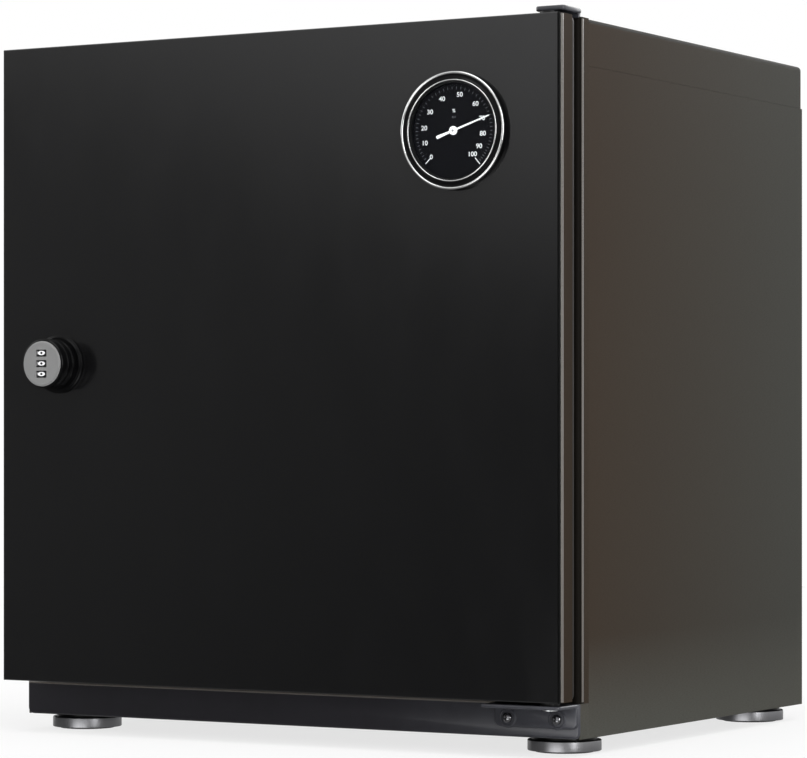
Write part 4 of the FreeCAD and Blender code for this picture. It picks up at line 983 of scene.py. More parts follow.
@dataclass
class Shell:
    """The cabinet's sheet-metal shell with its plinth."""

    sheet: float = 1.2 * MM
    plinth_sheet: float = 3.0 * MM
    plinth_fold: float = 1.5 * MM
    plinth_corners: tuple[float, float, float, float] = (0.8 * MM, 0.8 * MM, 4.0 * MM, 4.0 * MM)
    bead: float = 1.9 * MM
    bead_stand: float = 0.45 * MM
    bead_back: float = 4.2 * MM
    hem: float = 0.8 * MM

    def build(self) -> None:
        """Dresses the panels and makes the folded edges and the plinth."""
        dress(SIDE_PAINT_AND_PAINTED_LIGHT, "side_panel_left", "side_panel_right", "rear_panel", "top_cover")
        dress(FRAME_PAINT_AND_PAINTED_SHADE, "front_frame")
        dress(INSIDE_PAINT, "base_pan", "interior_floor")
        self.folds()
        self.plinth()

    def folds(self) -> None:
        """Makes the two round folds where the side panels lap over the face frame's returns."""
        low, high = box_of("front_frame")
        middle = float(low[1]) + self.bead_back
        ends = (float(low[2]) + 1.0 * MM, float(high[2]) - 1.0 * MM)
        shape = Shape()
        for side, edge in ((-1, float(low[0])), (1, float(high[0]))):
            half_round(shape, side, edge, middle, ends, self.bead, self.bead_stand)
        shape.piece("side_panel_folds", "cabinet", EDGE_PAINT_AND_PAINTED_HIGHLIGHT, "painted_steel", crease=50.0)

    def plinth(self) -> None:
        """Makes the plinth: a front sheet with rounded folds, and its two returns in the sides' paint."""
        low, high = box_of("plinth_front")
        middle = (low + high) / 2
        half = (high - low) / 2
        face = slab(
            Shape(),
            (float(middle[0]), float(low[1]) + self.plinth_sheet / 2, float(middle[2])),
            (float(half[0]), float(half[2]), self.plinth_sheet / 2),
            Axis.Y,
            self.plinth_corners,
            self.plinth_fold,
        ).piece("plinth_face", "cabinet", FRONT_PAINT_AND_PAINTED_REFLECTION, "front_steel")
        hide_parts("plinth_front")
        self.plinth_hem(low, high)
        start = float(low[1]) + self.plinth_sheet - self.plinth_fold
        ends = Shape()
        for side in (-1, 1):
            slab(
                ends,
                (side * (float(half[0]) - self.sheet / 2), (start + float(high[1])) / 2, float(middle[2])),
                ((float(high[1]) - start) / 2, float(half[2]), self.sheet / 2),
                Axis.X,
                0.4 * MM,
                0.1 * MM,
            )
        returns = ends.piece("plinth_returns", "cabinet", SIDE_PAINT_AND_PAINTED_LIGHT, "painted_steel")
        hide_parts("plinth_front")

    def plinth_hem(self, low: np.ndarray, high: np.ndarray) -> None:
        """Makes the rolled hem along the plinth's top edge."""
        turns = np.linspace(0, 2 * math.pi, 16, endpoint=False)
        along = float(low[1]) + 0.5 * MM + self.hem * np.cos(turns)
        up = float(high[2]) - self.hem - 0.1 * MM + self.hem * np.sin(turns)
        ends = (float(low[0]) + 1.0 * MM, float(high[0]) - 1.0 * MM)
        rows = [np.column_stack([np.full(16, across), along, up]) for across in ends]
        shape = Shape().capped(np.array(rows))
        hem = shape.piece("plinth_hem", "cabinet", EDGE_PAINT_AND_PAINTED_HIGHLIGHT, "front_steel", crease=50.0)
        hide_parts("plinth_front")


@dataclass
class Feet:
    """Four turned feet with rubber pads."""

    radius: float = 22.2 * MM
    height: float = 10.0 * MM
    neck: float = 2.5 * MM
    pad_radius: float = 18.0 * MM
    pad_height: float = 0.9 * MM
    pad_groove: float = 0.35 * MM

    def build(self) -> None:
        """Makes each foot and the set of pads."""
        pads = Shape()
        low, high = box_of("feet")
        for end, along in (("front", low[1] + self.radius), ("rear", high[1] - self.radius)):
            for side, across in (("left", low[0] + self.radius), ("right", high[0] - self.radius)):
                centre = (float(across), float(along), 0.0)
                self.foot(f"{end}_{side}", centre, float(low[2]))
                self.pad(pads, centre)
        piece = pads.piece("rubber_pads", "cabinet", RUBBER, "rubber")
        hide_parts("foot_pads")

    def foot(self, place: str, centre: Colour, low: float) -> None:
        """Makes one foot: a disc with rounded edges and a narrower neck."""
        shoulder = self.height - self.neck
        profile = rounded(
            [
                (0, low, 0),
                (self.radius, low, 0.5 * MM),
                (self.radius, shoulder, 0.7 * MM),
                (self.radius - self.neck, shoulder, 0.3 * MM),
                (self.radius - self.neck, self.height, 0),
                (0, self.height, 0),
            ]
        )
        metal = TurnedMetal(f"foot_metal_{place}", (0.26, 0.26, 0.27), centre, shoulder)
        shape = turned_piece(Shape(), profile, Axis.Z, centre, segments=128)
        piece = shape.piece(f"foot_{place}_turned", "cabinet", metal, "foot_metal")
        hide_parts("feet")

    def pad(self, shape: Shape, centre: Colour) -> None:
        """Adds a pad with three ring grooves in its underside."""
        rings = np.linspace(0.25, 0.9, 40) * (self.pad_radius - 0.1 * MM)
        grooves = self.pad_groove * (0.5 + 0.5 * np.cos(np.linspace(0, 6 * math.pi, 40)))
        underside = [(radius, height) for radius, height in zip(rings, grooves)]
        rim = self.pad_radius - 0.1 * MM
        top = self.pad_height
        edge = [(rim - 0.4 * MM, 0), (rim, 0.4 * MM), (rim, top), (0, top)]
        profile = np.array([(0, underside[0][1]), *underside, *edge])
        turned_piece(shape, profile, Axis.Z, centre, segments=64)


@dataclass
class Door:
    """The door: dark pane, painted frame with a bright front edge, lit on its bead and painted paler as a
    highlight, trim round its rear edge and seal.
    """

    trim_corner: float = 4.0 * MM
    trim_width: float = 26.0 * MM
    seal_corner: float = 6.0 * MM
    seal_width: float = 11.0 * MM
    bead: float = 2.1 * MM
    bead_stand: float = 0.7 * MM

    def build(self) -> None:
        """Dresses the pane and the frame, and makes the trim and the seal."""
        dress(BLACK_GLASS, "door_glass")
        dress(DOOR_PAINT, "door_frame")
        dress(SATIN_BLACK, "hinge_bushes")
        self.edges()
        self.trim()
        self.seal()

    def edges(self) -> None:
        """Makes the two half-round beads where the frame's sides meet the pane."""
        low, high = box_of("door_frame")
        middle = float(low[1]) + 0.7 * MM
        ends = (float(low[2]) + 0.5 * MM, float(high[2]) - 0.5 * MM)
        shape = Shape()
        for side, edge in ((-1, float(low[0])), (1, float(high[0]))):
            half_round(shape, side, edge, middle, ends, self.bead, self.bead_stand)
        shape.piece("door_frame_edges", "door", EDGE_PAINT_AND_PAINTED_HIGHLIGHT, "painted_steel", crease=50.0)

    def trim(self) -> None:
        """Makes the trim: a flat ring with its outer rear edge well rounded."""
        low, high = box_of("door_rim")
        half = (high - low) / 2
        depth = float(half[1])
        width = self.trim_width
        section = rounded(
            [
                (0, depth, 0.2 * MM),
                (0, -depth, 1.3 * MM),
                (width, -depth, 0.5 * MM),
                (width, depth, 0.2 * MM),
            ],
            closed=True,
        )
        shape = ring_frame(Shape(), tuple((low + high) / 2), half[0], half[2], self.trim_corner, section)
        piece = shape.piece("door_trim", "door", RIM_TRIM, "grey_plastic")
        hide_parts("door_rim")

    def seal(self) -> None:
        """Makes the seal: a foot lip, two bellows folds and a flat magnet head."""
        low, high = box_of("door_seal")
        half = (high - low) / 2
        depth = float(half[1])
        width = self.seal_width
        section = rounded(
            [
                (0, depth, 0.4 * MM),
                (0, depth - 1.4 * MM, 0.4 * MM),
                (2.4 * MM, depth - 2.0 * MM, 0.5 * MM),
                (1.0 * MM, depth - 2.9 * MM, 0.5 * MM),
                (2.0 * MM, depth - 3.7 * MM, 0.4 * MM),
                (0.5 * MM, -depth + 1.6 * MM, 0.4 * MM),
                (0.5 * MM, -depth, 0.6 * MM),
                (width - 0.5 * MM, -depth, 0.6 * MM),
                (width - 0.5 * MM, -depth + 1.6 * MM, 0.4 * MM),
                (width - 2.0 * MM, depth - 3.7 * MM, 0.4 * MM),
                (width - 1.0 * MM, depth - 2.9 * MM, 0.5 * MM),
                (width - 2.4 * MM, depth - 2.0 * MM, 0.5 * MM),
                (width, depth - 1.4 * MM, 0.4 * MM),
                (width, depth, 0.4 * MM),
            ],
            steps=3,
            closed=True,
        )
        shape = ring_frame(Shape(), tuple((low + high) / 2), half[0], half[2], self.seal_corner + width, section)
        piece = shape.piece("door_gasket", "door", RUBBER, "rubber")
        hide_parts("door_seal")


DIAL_MARKS = (
    (-134.5, 21.5),
    (-108.6, 20.9),
    (-83.7, 20.3),
    (-54.4, 19.9),
    (-22.8, 20.6),
    (10.7, 21.4),
    (44.0, 21.0),
    (71.3, 20.0),
    (97.5, 19.7),
    (120.1, 19.7),
    (139.2, 19.1),
)


@dataclass
class Hygrometer:
    """The hygrometer: bezel with two bright rings, printed dial, pointer, lens and works."""

    bore: float = 29.7 * MM
    radius: float = 35.1 * MM
    proud: float = 5.0 * MM
    rim_tube: float = 0.85 * MM
    inner_tube: float = 0.42 * MM
    numeral_height: float = 2.7 * MM
    tick_inner: float = 24.5 * MM
    tick_outer: float = 26.0 * MM
    pointer_angle: float = 71.5
    pointer_length: float = 25.7 * MM
    pointer_tail: float = 11.9 * MM
    hub: float = 2.6 * MM

    def __post_init__(self) -> None:
        """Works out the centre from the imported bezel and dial."""
        low, high = box_of("hygrometer_bezel")
        middle = (low + high) / 2
        self.centre = (float(middle[0]), float(high[1]), float(middle[2]))
        self.dial_front = float(high[1] - box_of("hygrometer_dial")[0][1])

    def build(self) -> None:
        """Makes the rings, the dial's print and the pointer, and dresses the rest."""
        dress(DIAL_INK, "hygrometer_dial")
        dress(SATIN_BLACK, "hygrometer_case", "hygrometer_clamp")
        dress(COPPER, "hygrometer_coil")
        dress(CLEAR_GLASS, "hygrometer_lens")
        self.bezel()
        self.numerals()
        self.ticks()
        self.pointer()

    def on_dial(self, angle: float, radius: float, front: float) -> tuple[float, float, float]:
        """Returns the point at a clockwise angle from the top, seen from the front."""
        turn = math.radians(angle)
        across, back, up = self.centre
        return across + radius * math.sin(turn), back - front, up + radius * math.cos(turn)

    def bezel(self) -> None:
        """Makes the black ring, dished between its edges, and the two bright beads on them."""
        proud = self.proud
        profile = rounded(
            [
                (self.bore, 0, 0),
                (self.bore, proud - 0.5 * MM, 0.2 * MM),
                (self.bore + 1.0 * MM, proud - 0.5 * MM, 0.2 * MM),
                (self.bore + 1.8 * MM, proud - 1.1 * MM, 0.6 * MM),
                (self.radius - 2.2 * MM, proud - 1.1 * MM, 0.6 * MM),
                (self.radius - 1.4 * MM, proud - 0.6 * MM, 0.3 * MM),
                (self.radius - 0.2 * MM, proud - 0.6 * MM, 0.5 * MM),
                (self.radius, 0, 0),
            ]
        )
        piece = turned_piece(Shape(), profile, Axis.Y, self.centre, 160).piece(
            "bezel_ring", "door", GLOSS_BLACK, "lock_black"
        )
        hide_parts("hygrometer_bezel")
        for name, radius, front, tube in (
            ("bezel_rim", self.radius - 0.1 * MM - self.rim_tube, proud - self.rim_tube, self.rim_tube),
            ("bezel_bead", self.bore + 0.1 * MM, proud - 0.2 * MM, self.inner_tube),
        ):
            turns = np.linspace(0, 2 * math.pi, 20, endpoint=False)
            circle = np.column_stack([radius + tube * np.cos(turns), front + tube * np.sin(turns)])
            ring = turned_piece(Shape(), circle, Axis.Y, self.centre, 160)
            ring.piece(name, "door", BRIGHT_METAL, "bright_steel")

    def print_on(
        self, text: str, place: tuple[float, float, float], height: float, weight: float
    ) -> bpy.types.Mesh:
        """Returns lettering at a place on the dial, upright and facing the front."""
        mesh = lettering(text, height, weight, wide=1.08)
        mesh.transform(Matrix.Translation(Vector(place)) @ Matrix.Rotation(math.pi / 2, 4, "X"))
        return mesh

    def numerals(self) -> None:
        """Makes the numerals from 0 to 100 and the unit."""
        front = self.dial_front + 0.02 * MM
        marks = []
        for number, (angle, radius) in enumerate(DIAL_MARKS):
            place = self.on_dial(angle, radius * MM, front)
            marks.append(self.print_on(str(10 * number), place, self.numeral_height, 0.08 * MM))
        marks.append(self.print_on("%", self.on_dial(0.0, 11.7 * MM, front), 2.0 * MM, 0.05 * MM))
        settle("dial_numerals", gather(marks, "dial_numerals"), "door", GLOWING_WHITE_INK, 30.0)
        unit = [self.print_on("RH", self.on_dial(0.0, 7.9 * MM, front), 1.3 * MM, 0.03 * MM)]
        settle("dial_unit", gather(unit, "dial_unit"), "door", DIM_INK, 30.0)

    def ticks(self) -> None:
        """Makes fifty dim ticks round the dial, spaced as its numerals are, and a long one at each end."""
        tens = np.array([angle for angle, _ in DIAL_MARKS])
        turns = np.radians(np.interp(np.linspace(0, 10, 51), np.arange(11), tens))
        self.tick_set("dial_ticks", turns[1:-1], (self.tick_inner, self.tick_outer), 0.16 * MM, DIM_INK)
        ends = (self.tick_inner - 2.5 * MM, self.tick_outer + 1.0 * MM)
        self.tick_set("dial_end_ticks", turns[[0, -1]], ends, 0.3 * MM, GLOWING_WHITE_INK)

    def tick_set(
        self, name: str, turns: np.ndarray, reach: tuple[float, float], half: float, ink: Finish
    ) -> None:
        """Makes a set of ticks as flat bars.

        Args:
            name: the piece's name.
            turns: each tick's clockwise turn from the top.
            reach: their inner and outer radius.
            half: half their width.
            ink: their finish.
        """
        shape = Shape()
        for turn in turns:
            outward = np.array([math.sin(turn), math.cos(turn)])
            sideways = np.array([math.cos(turn), -math.sin(turn)]) * half
            start, end = outward * reach[0], outward * reach[1]
            ring = np.array([start - sideways, start + sideways, end + sideways, end - sideways])
            rows = [np.column_stack([ring, np.full(4, self.dial_front + height)]) for height in (0.0, 0.05 * MM)]
            shape.capped(seat(np.array(rows), Axis.Y, self.centre))
        shape.piece(name, "door", ink, "pointer_white")

    def pointer(self) -> None:
        """Makes the pointer: a tapered needle with a ridge, a round hub with a steel pin, and its arbor."""
        front = self.dial_front + 0.9 * MM
        tail, length = self.pointer_tail, self.pointer_length
        stations = np.array([-tail, 0.5 * MM - tail, 0.0, length - 1.0 * MM, length])
        widths = np.array([0.7, 1.0, 0.62, 0.42, 0.1]) * MM
        rows = []
        for along, width in zip(stations, widths):
            section = [(-width, 0.0), (0.0, 0.28 * MM), (width, 0.0), (0.0, -0.1 * MM)]
            rows.append([(across, along, front + height) for across, height in section])
        turn = math.radians(self.pointer_angle)
        local = np.array(rows)
        across, up = local[..., 0].copy(), local[..., 1].copy()
        local[..., 0] = across * math.cos(turn) + up * math.sin(turn)
        local[..., 1] = up * math.cos(turn) - across * math.sin(turn)
        shape = Shape().capped(seat(local, Axis.Y, self.centre))
        base = front - 0.5 * MM
        hub = rounded(
            [(0, base, 0), (self.hub, base, 0), (self.hub, front + 0.5 * MM, 0.3 * MM), (0, front + 0.55 * MM, 0)]
        )
        turned_piece(shape, hub, Axis.Y, self.centre, 48)
        back = -24.0 * MM
        arbor = np.array([(0, back), (0.7 * MM, back), (0.7 * MM, base), (0, base)])
        turned_piece(shape, arbor, Axis.Y, self.centre, 24)
        piece = shape.piece("needle", "pointer", GLOWING_POINTER_WHITE, "pointer_white")
        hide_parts("hygrometer_pointer")
        pin_front = front + 0.75 * MM
        pin = rounded([(0, front, 0), (0.75 * MM, front, 0), (0.75 * MM, pin_front, 0.2 * MM), (0, pin_front, 0)])
        end = turned_piece(Shape(), pin, Axis.Y, self.centre, 32)
        end.piece("needle_pin", "pointer", STEEL_WIRE, "bright_steel")


@dataclass
class Lock:
    """The combination lock: flange, turning barrel, face with three windows, and number wheels."""

    barrel_radius: float = 15.5 * MM
    flange_radius: float = 18.4 * MM
    flange: float = 3.0 * MM
    reach: float = 20.0 * MM
    wall: float = 2.4 * MM
    sleeve: float = 9.5 * MM
    sleeve_back: float = -31.0 * MM
    bore: float = 7.05 * MM
    floor: float = 4.8 * MM
    spindle: float = 7.0 * MM
    square: float = 3.5 * MM
    numeral_height: float = 2.4 * MM
    zero_stretch: float = 3.1
    other_stretch: float = 0.8

    def __post_init__(self) -> None:
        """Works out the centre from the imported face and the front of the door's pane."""
        low, high = box_of("lock_face")
        middle = (low + high) / 2
        self.centre = (float(middle[0]), float(box_of("door_glass")[0][1]), float(middle[2]))

    def build(self) -> None:
        """Makes the barrel and the numerals, and dresses the rest."""
        dress(LOCK_GREY, "lock_face")
        dress(SATIN_BLACK, "number_wheel_1", "number_wheel_2", "number_wheel_3")
        dress(ZINC, "lock_nut", "lock_cam", "cam_screw", "strike_plate", "wheel_axle")
        self.barrel()
        self.knob()
        for wheel, body in ((1, "wheel_top"), (2, "wheel_middle"), (3, "wheel_low")):
            self.wheel_numerals(wheel, body)

    def barrel(self) -> None:
        """Makes the flange with its stepped edge and the sleeve through the door."""
        sleeve, bore, back = self.sleeve, self.bore, self.sleeve_back
        profile = rounded(
            [
                (bore, self.flange, 0),
                (self.flange_radius - 1.4 * MM, self.flange, 0.3 * MM),
                (self.flange_radius - 1.0 * MM, self.flange - 1.0 * MM, 0.2 * MM),
                (self.flange_radius, self.flange - 1.2 * MM, 0.4 * MM),
                (self.flange_radius, 0, 0),
                (sleeve, 0, 0),
                (sleeve, back, 0),
                (bore, back, 0),
            ],
            closed=True,
        )
        piece = turned_piece(Shape(), profile, Axis.Y, self.centre, 128).piece(
            "lock_flange", "door", GLOSS_BLACK, "lock_black"
        )
        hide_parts("lock_barrel")

    def knob(self) -> None:
        """Makes the turning barrel: a cup with two ring grooves, closed behind the wheels, and its spindle."""
        front = self.reach - 1.2 * MM
        outer = self.barrel_radius
        back = self.flange + 0.2 * MM
        inner = outer - self.wall
        floor, spindle = self.floor, self.spindle
        end = -float(box_of("lock_cam")[0][1] - self.centre[1])
        profile = rounded(
            [
                (0, floor, 0),
                (inner, floor, 0),
                (inner, front, 0),
                (outer - 0.6 * MM, front, 0.3 * MM),
                (outer, front - 0.6 * MM, 0.4 * MM),
                (outer, 13.4 * MM, 0.15 * MM),
                (outer - 0.5 * MM, 13.1 * MM, 0.15 * MM),
                (outer - 0.5 * MM, 12.5 * MM, 0.15 * MM),
                (outer, 12.2 * MM, 0.15 * MM),
                (outer, 8.0 * MM, 0.15 * MM),
                (outer - 0.5 * MM, 7.7 * MM, 0.15 * MM),
                (outer - 0.5 * MM, 7.1 * MM, 0.15 * MM),
                (outer, 6.8 * MM, 0.15 * MM),
                (outer, back, 0.3 * MM),
                (spindle, back, 0),
                (spindle, end, 0),
                (0, end, 0),
            ],
            steps=3,
        )
        shape = turned_piece(Shape(), profile, Axis.Y, self.centre, 128)
        square = self.square
        slab(
            shape,
            (self.centre[0], self.centre[1] - end + 1.0 * MM, self.centre[2]),
            (square, square, 1.0 * MM),
            Axis.Y,
            0.3 * MM,
            0.1 * MM,
        )
        piece = shape.piece("lock_barrel_turning", "lock", GLOSS_BLACK, "lock_black")
        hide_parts("lock_knob")

    def wheel_numerals(self, wheel: int, body: str) -> None:
        """Makes the ten numerals round one wheel, the 0 to the front."""
        low, high = box_of(f"number_wheel_{wheel}")
        centre = (low + high) / 2
        radius = float(high[0] - low[0]) / 2
        marks = []
        for number in range(10):
            wide = self.zero_stretch if number == 0 else self.other_stretch
            mesh = lettering(str(number), self.numeral_height, 0.12 * MM, wide, depth=0.2 * MM)
            stand = Matrix.Translation((0, -radius + 0.02 * MM, 0)) @ Matrix.Rotation(math.pi / 2, 4, "X")
            spin = Matrix.Rotation(math.radians(36 * number), 4, "Z")
            mesh.transform(Matrix.Translation(Vector(centre)) @ spin @ stand)
            marks.append(mesh)
        name = f"wheel_{wheel}_numerals"
        settle(name, gather(marks, name), body, GLOWING_WHITE_INK, 30.0)


@dataclass
class Hinges:
    """The two hinge brackets with their screws and pins, and the rear panel's screws."""

    edge: float = 0.9 * MM
    lip_width: float = 52.8 * MM
    lip_thickness: float = 2.2 * MM
    leg_thickness: float = 2.5 * MM
    boss: float = 0.5 * MM
    head: float = 3.4 * MM
    seen_head: float = 3.0 * MM
    plate_thickness: float = 3.0 * MM
    plate_reach: float = 2.6 * MM
    rear_screws: tuple[float, float, float] = (40.0 * MM, 222.5 * MM, 395.0 * MM)

    def __post_init__(self) -> None:
        """Finds the lower bracket's screws in their packed box."""
        low, high = box_of("hinge_screws")
        up = float(low[2] + high[2]) / 2
        self.screw_places = [(float(low[0]) + self.head, up), (float(high[0]) - self.head, up)]
        self.head_front = float(low[1])

    def build(self) -> None:
        """Makes the brackets and the screws, and dresses the pins."""
        dress(ZINC, "hinge_pins")
        self.lower()
        self.upper()
        self.screws()

    def lower(self) -> None:
        """Makes the lower bracket: lip, leg and two round bosses dished about their screws."""
        low, high = box_of("hinge_bracket_lower")
        body_front = float(box_of("plinth_front")[0][1])
        front, right, top = float(low[1]), float(high[0]), float(high[2])
        shape = Shape()
        slab(
            shape,
            (right - self.lip_width / 2, (front + body_front) / 2, top - self.lip_thickness / 2),
            (self.lip_width / 2, (body_front - front) / 2, self.lip_thickness / 2),
            Axis.Z,
            2.5 * MM,
            self.edge,
        )
        slab(
            shape,
            ((float(low[0]) + right) / 2, body_front - self.leg_thickness / 2, (float(low[2]) + top) / 2),
            ((right - float(low[0])) / 2, (top - float(low[2])) / 2, self.leg_thickness / 2),
            Axis.Y,
            (0.8 * MM, 0.8 * MM, 4.5 * MM, 4.5 * MM),
            self.edge * 1.5,
        )
        for across, up in self.screw_places:
            dish = rounded(
                [
                    (0, -0.2 * MM, 0),
                    (4.0 * MM, -0.2 * MM, 0.4 * MM),
                    (4.6 * MM, self.boss, 0.3 * MM),
                    (5.2 * MM, self.boss, 0.3 * MM),
                    (6.2 * MM, -0.2 * MM, 0),
                    (0, -0.4 * MM, 0),
                ]
            )
            turned_piece(shape, dish, Axis.Y, (across, body_front - self.leg_thickness, up), 48)
        piece = shape.piece("lower_bracket", "cabinet", FRONT_PAINT_AND_PAINTED_REFLECTION, "front_steel")
        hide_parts("hinge_bracket_lower")

    def upper(self) -> None:
        """Makes the upper bracket: the plate over the door's corner and its leg."""
        low, high = box_of("hinge_bracket_upper")
        thick = self.plate_thickness
        middle = (low + high) / 2
        half = (high - low) / 2
        shape = Shape()
        slab(
            shape,
            (float(middle[0]) - self.plate_reach / 2, float(middle[1]), float(high[2]) - thick / 2),
            (float(half[0]) + self.plate_reach / 2, float(half[1]), thick / 2),
            Axis.Z,
            2.5 * MM,
            self.edge,
        )
        leg_right = float(high[0]) - 1.3 * MM
        slab(
            shape,
            ((float(low[0]) + leg_right) / 2, float(high[1]) - thick / 2, float(middle[2])),
            ((leg_right - float(low[0])) / 2, float(half[2]), thick / 2),
            Axis.Y,
            0.8 * MM,
            0.3 * MM,
        )
        piece = shape.piece("upper_bracket", "cabinet", FRONT_PAINT_AND_PAINTED_REFLECTION, "front_steel")
        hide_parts("hinge_bracket_upper")

    def screws(self) -> None:
        """Makes the bracket's and the rear panel's screws with cross recesses."""
        seat_front = float(box_of("plinth_front")[0][1]) - self.leg_thickness
        shape = Shape()
        for across, up in self.screw_places:
            self.cross_head(shape, (across, seat_front, up), self.seen_head, seat_front - self.head_front, 1)
        piece = shape.piece("bracket_screws", "cabinet", DARK_METAL, "bright_steel", crease=40.0)
        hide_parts("hinge_screws")
        panel_low, panel_high = box_of("rear_panel")
        edge = float(panel_high[0]) - 8.6 * MM
        shape = Shape()
        for side in (-1, 1):
            for up in self.rear_screws:
                self.cross_head(shape, (side * edge, float(panel_high[1]), up), self.head, 2.0 * MM, -1)
        shape.piece("rear_screws", "cabinet", ZINC, "bright_steel", crease=40.0)

    def cross_head(self, shape: Shape, place: Colour, radius: float, dome: float, facing: int) -> None:
        """Adds a pan head whose cross recess is a drop near the two lines through its middle.

        The height at (x, y) is dome * sqrt(1 - (r / radius)^2 * 0.75), less the recess depth where
        min(|x|, |y|) is under the slot's half width and max(|x|, |y|) under its reach.

        Args:
            shape: what it is added to.
            place: the middle of the seat.
            radius: the head's radius.
            dome: its height.
            facing: 1 for a head that faces the front, -1 for the rear.
        """
        radii = np.linspace(0.02, 1, 22)[:, None] * radius
        turns = np.linspace(0, 2 * math.pi, 72, endpoint=False)[None]
        across, up = radii * np.cos(turns), radii * np.sin(turns)
        height = dome * np.sqrt(1 - 0.75 * (radii / radius) ** 2) + 0 * turns
        near = np.clip((0.17 * radius - np.minimum(abs(across), abs(up))) / (0.08 * radius), 0, 1)
        reach = np.clip((0.6 * radius - np.maximum(abs(across), abs(up))) / (0.08 * radius), 0, 1)
        height = height - 0.62 * dome * near * reach
        head = np.stack([across, up * facing, height * facing], axis=-1)
        foot = head[-1:].copy()
        foot[..., 2] = 0.0
        shape.capped(seat(np.concatenate([head, foot]), Axis.Y, place))


@dataclass
class Interior:
    """Shelves, their uprights and clips, and the foam mats."""

    wave: float = 14.0 * MM
    base: float = 3.0 * MM
    grid: float = 1.6 * MM

    def build(self) -> None:
        """Dresses the shelves and makes the mats."""
        dress(INSIDE_PAINT, "shelf_lower", "shelf_upper")
        dress(ZINC, "uprights_left", "uprights_right", "shelf_clips")
        low, high = box_of("shelf_mats")
        for level in ("lower", "upper"):
            base = float(box_of(f"shelf_{level}")[1][2])
            height = float(high[2]) - base
            self.mat(f"egg_crate_{level}", (low[0], high[0]), (low[1], high[1]), base, height, "shelf_mats")
        low, high = box_of("floor_mat")
        base = float(low[2])
        height = float(high[2]) - base
        self.mat("egg_crate_floor", (low[0], high[0]), (low[1], high[1]), base, height, "floor_mat")

    def mat(
        self,
        name: str,
        across: tuple[float, float],
        along: tuple[float, float],
        base: float,
        height: float,
        node: str,
    ) -> None:
        """Makes one mat: a foam slab whose top rises and falls in rows of pegs and hollows.

        The top lies at base + floor + peg * (0.5 + 0.5 * sin x * sin y), and the outer 4 mm roll down to
        the slab's sides along a quarter round.

        Args:
            name: the piece's name.
            across: its ends in X.
            along: its ends in Y.
            base: the height of what it lies on.
            height: the height of its pegs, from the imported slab.
            node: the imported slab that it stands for.
        """
        height = min(height, 8.0 * MM)
        columns = int((across[1] - across[0]) / self.grid)
        rows = int((along[1] - along[0]) / self.grid)
        x = np.linspace(across[0], across[1], columns)[None]
        y = np.linspace(along[0], along[1], rows)[:, None]
        pegs = 0.5 + 0.5 * np.sin(2 * math.pi * x / self.wave) * np.sin(2 * math.pi * y / self.wave)
        inward = np.minimum(np.minimum(x - across[0], across[1] - x), np.minimum(y - along[0], along[1] - y))
        roll = np.sqrt(1 - (1 - np.clip(inward / (4 * MM), 0, 1)) ** 2)
        top = base + (self.base + (height - self.base) * pegs) * roll
        grid = np.stack([x + 0 * y, y + 0 * x, top], axis=-1)
        shape = Shape().grid(grid, closed_columns=False)
        shape.cap(np.concatenate([grid[0], grid[1:, -1], grid[-1, -2::-1], grid[-2:0:-1, 0]]))
        piece = shape.piece(name, "cabinet", GREY_FOAM, "foam", crease=60.0)
        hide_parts(node)


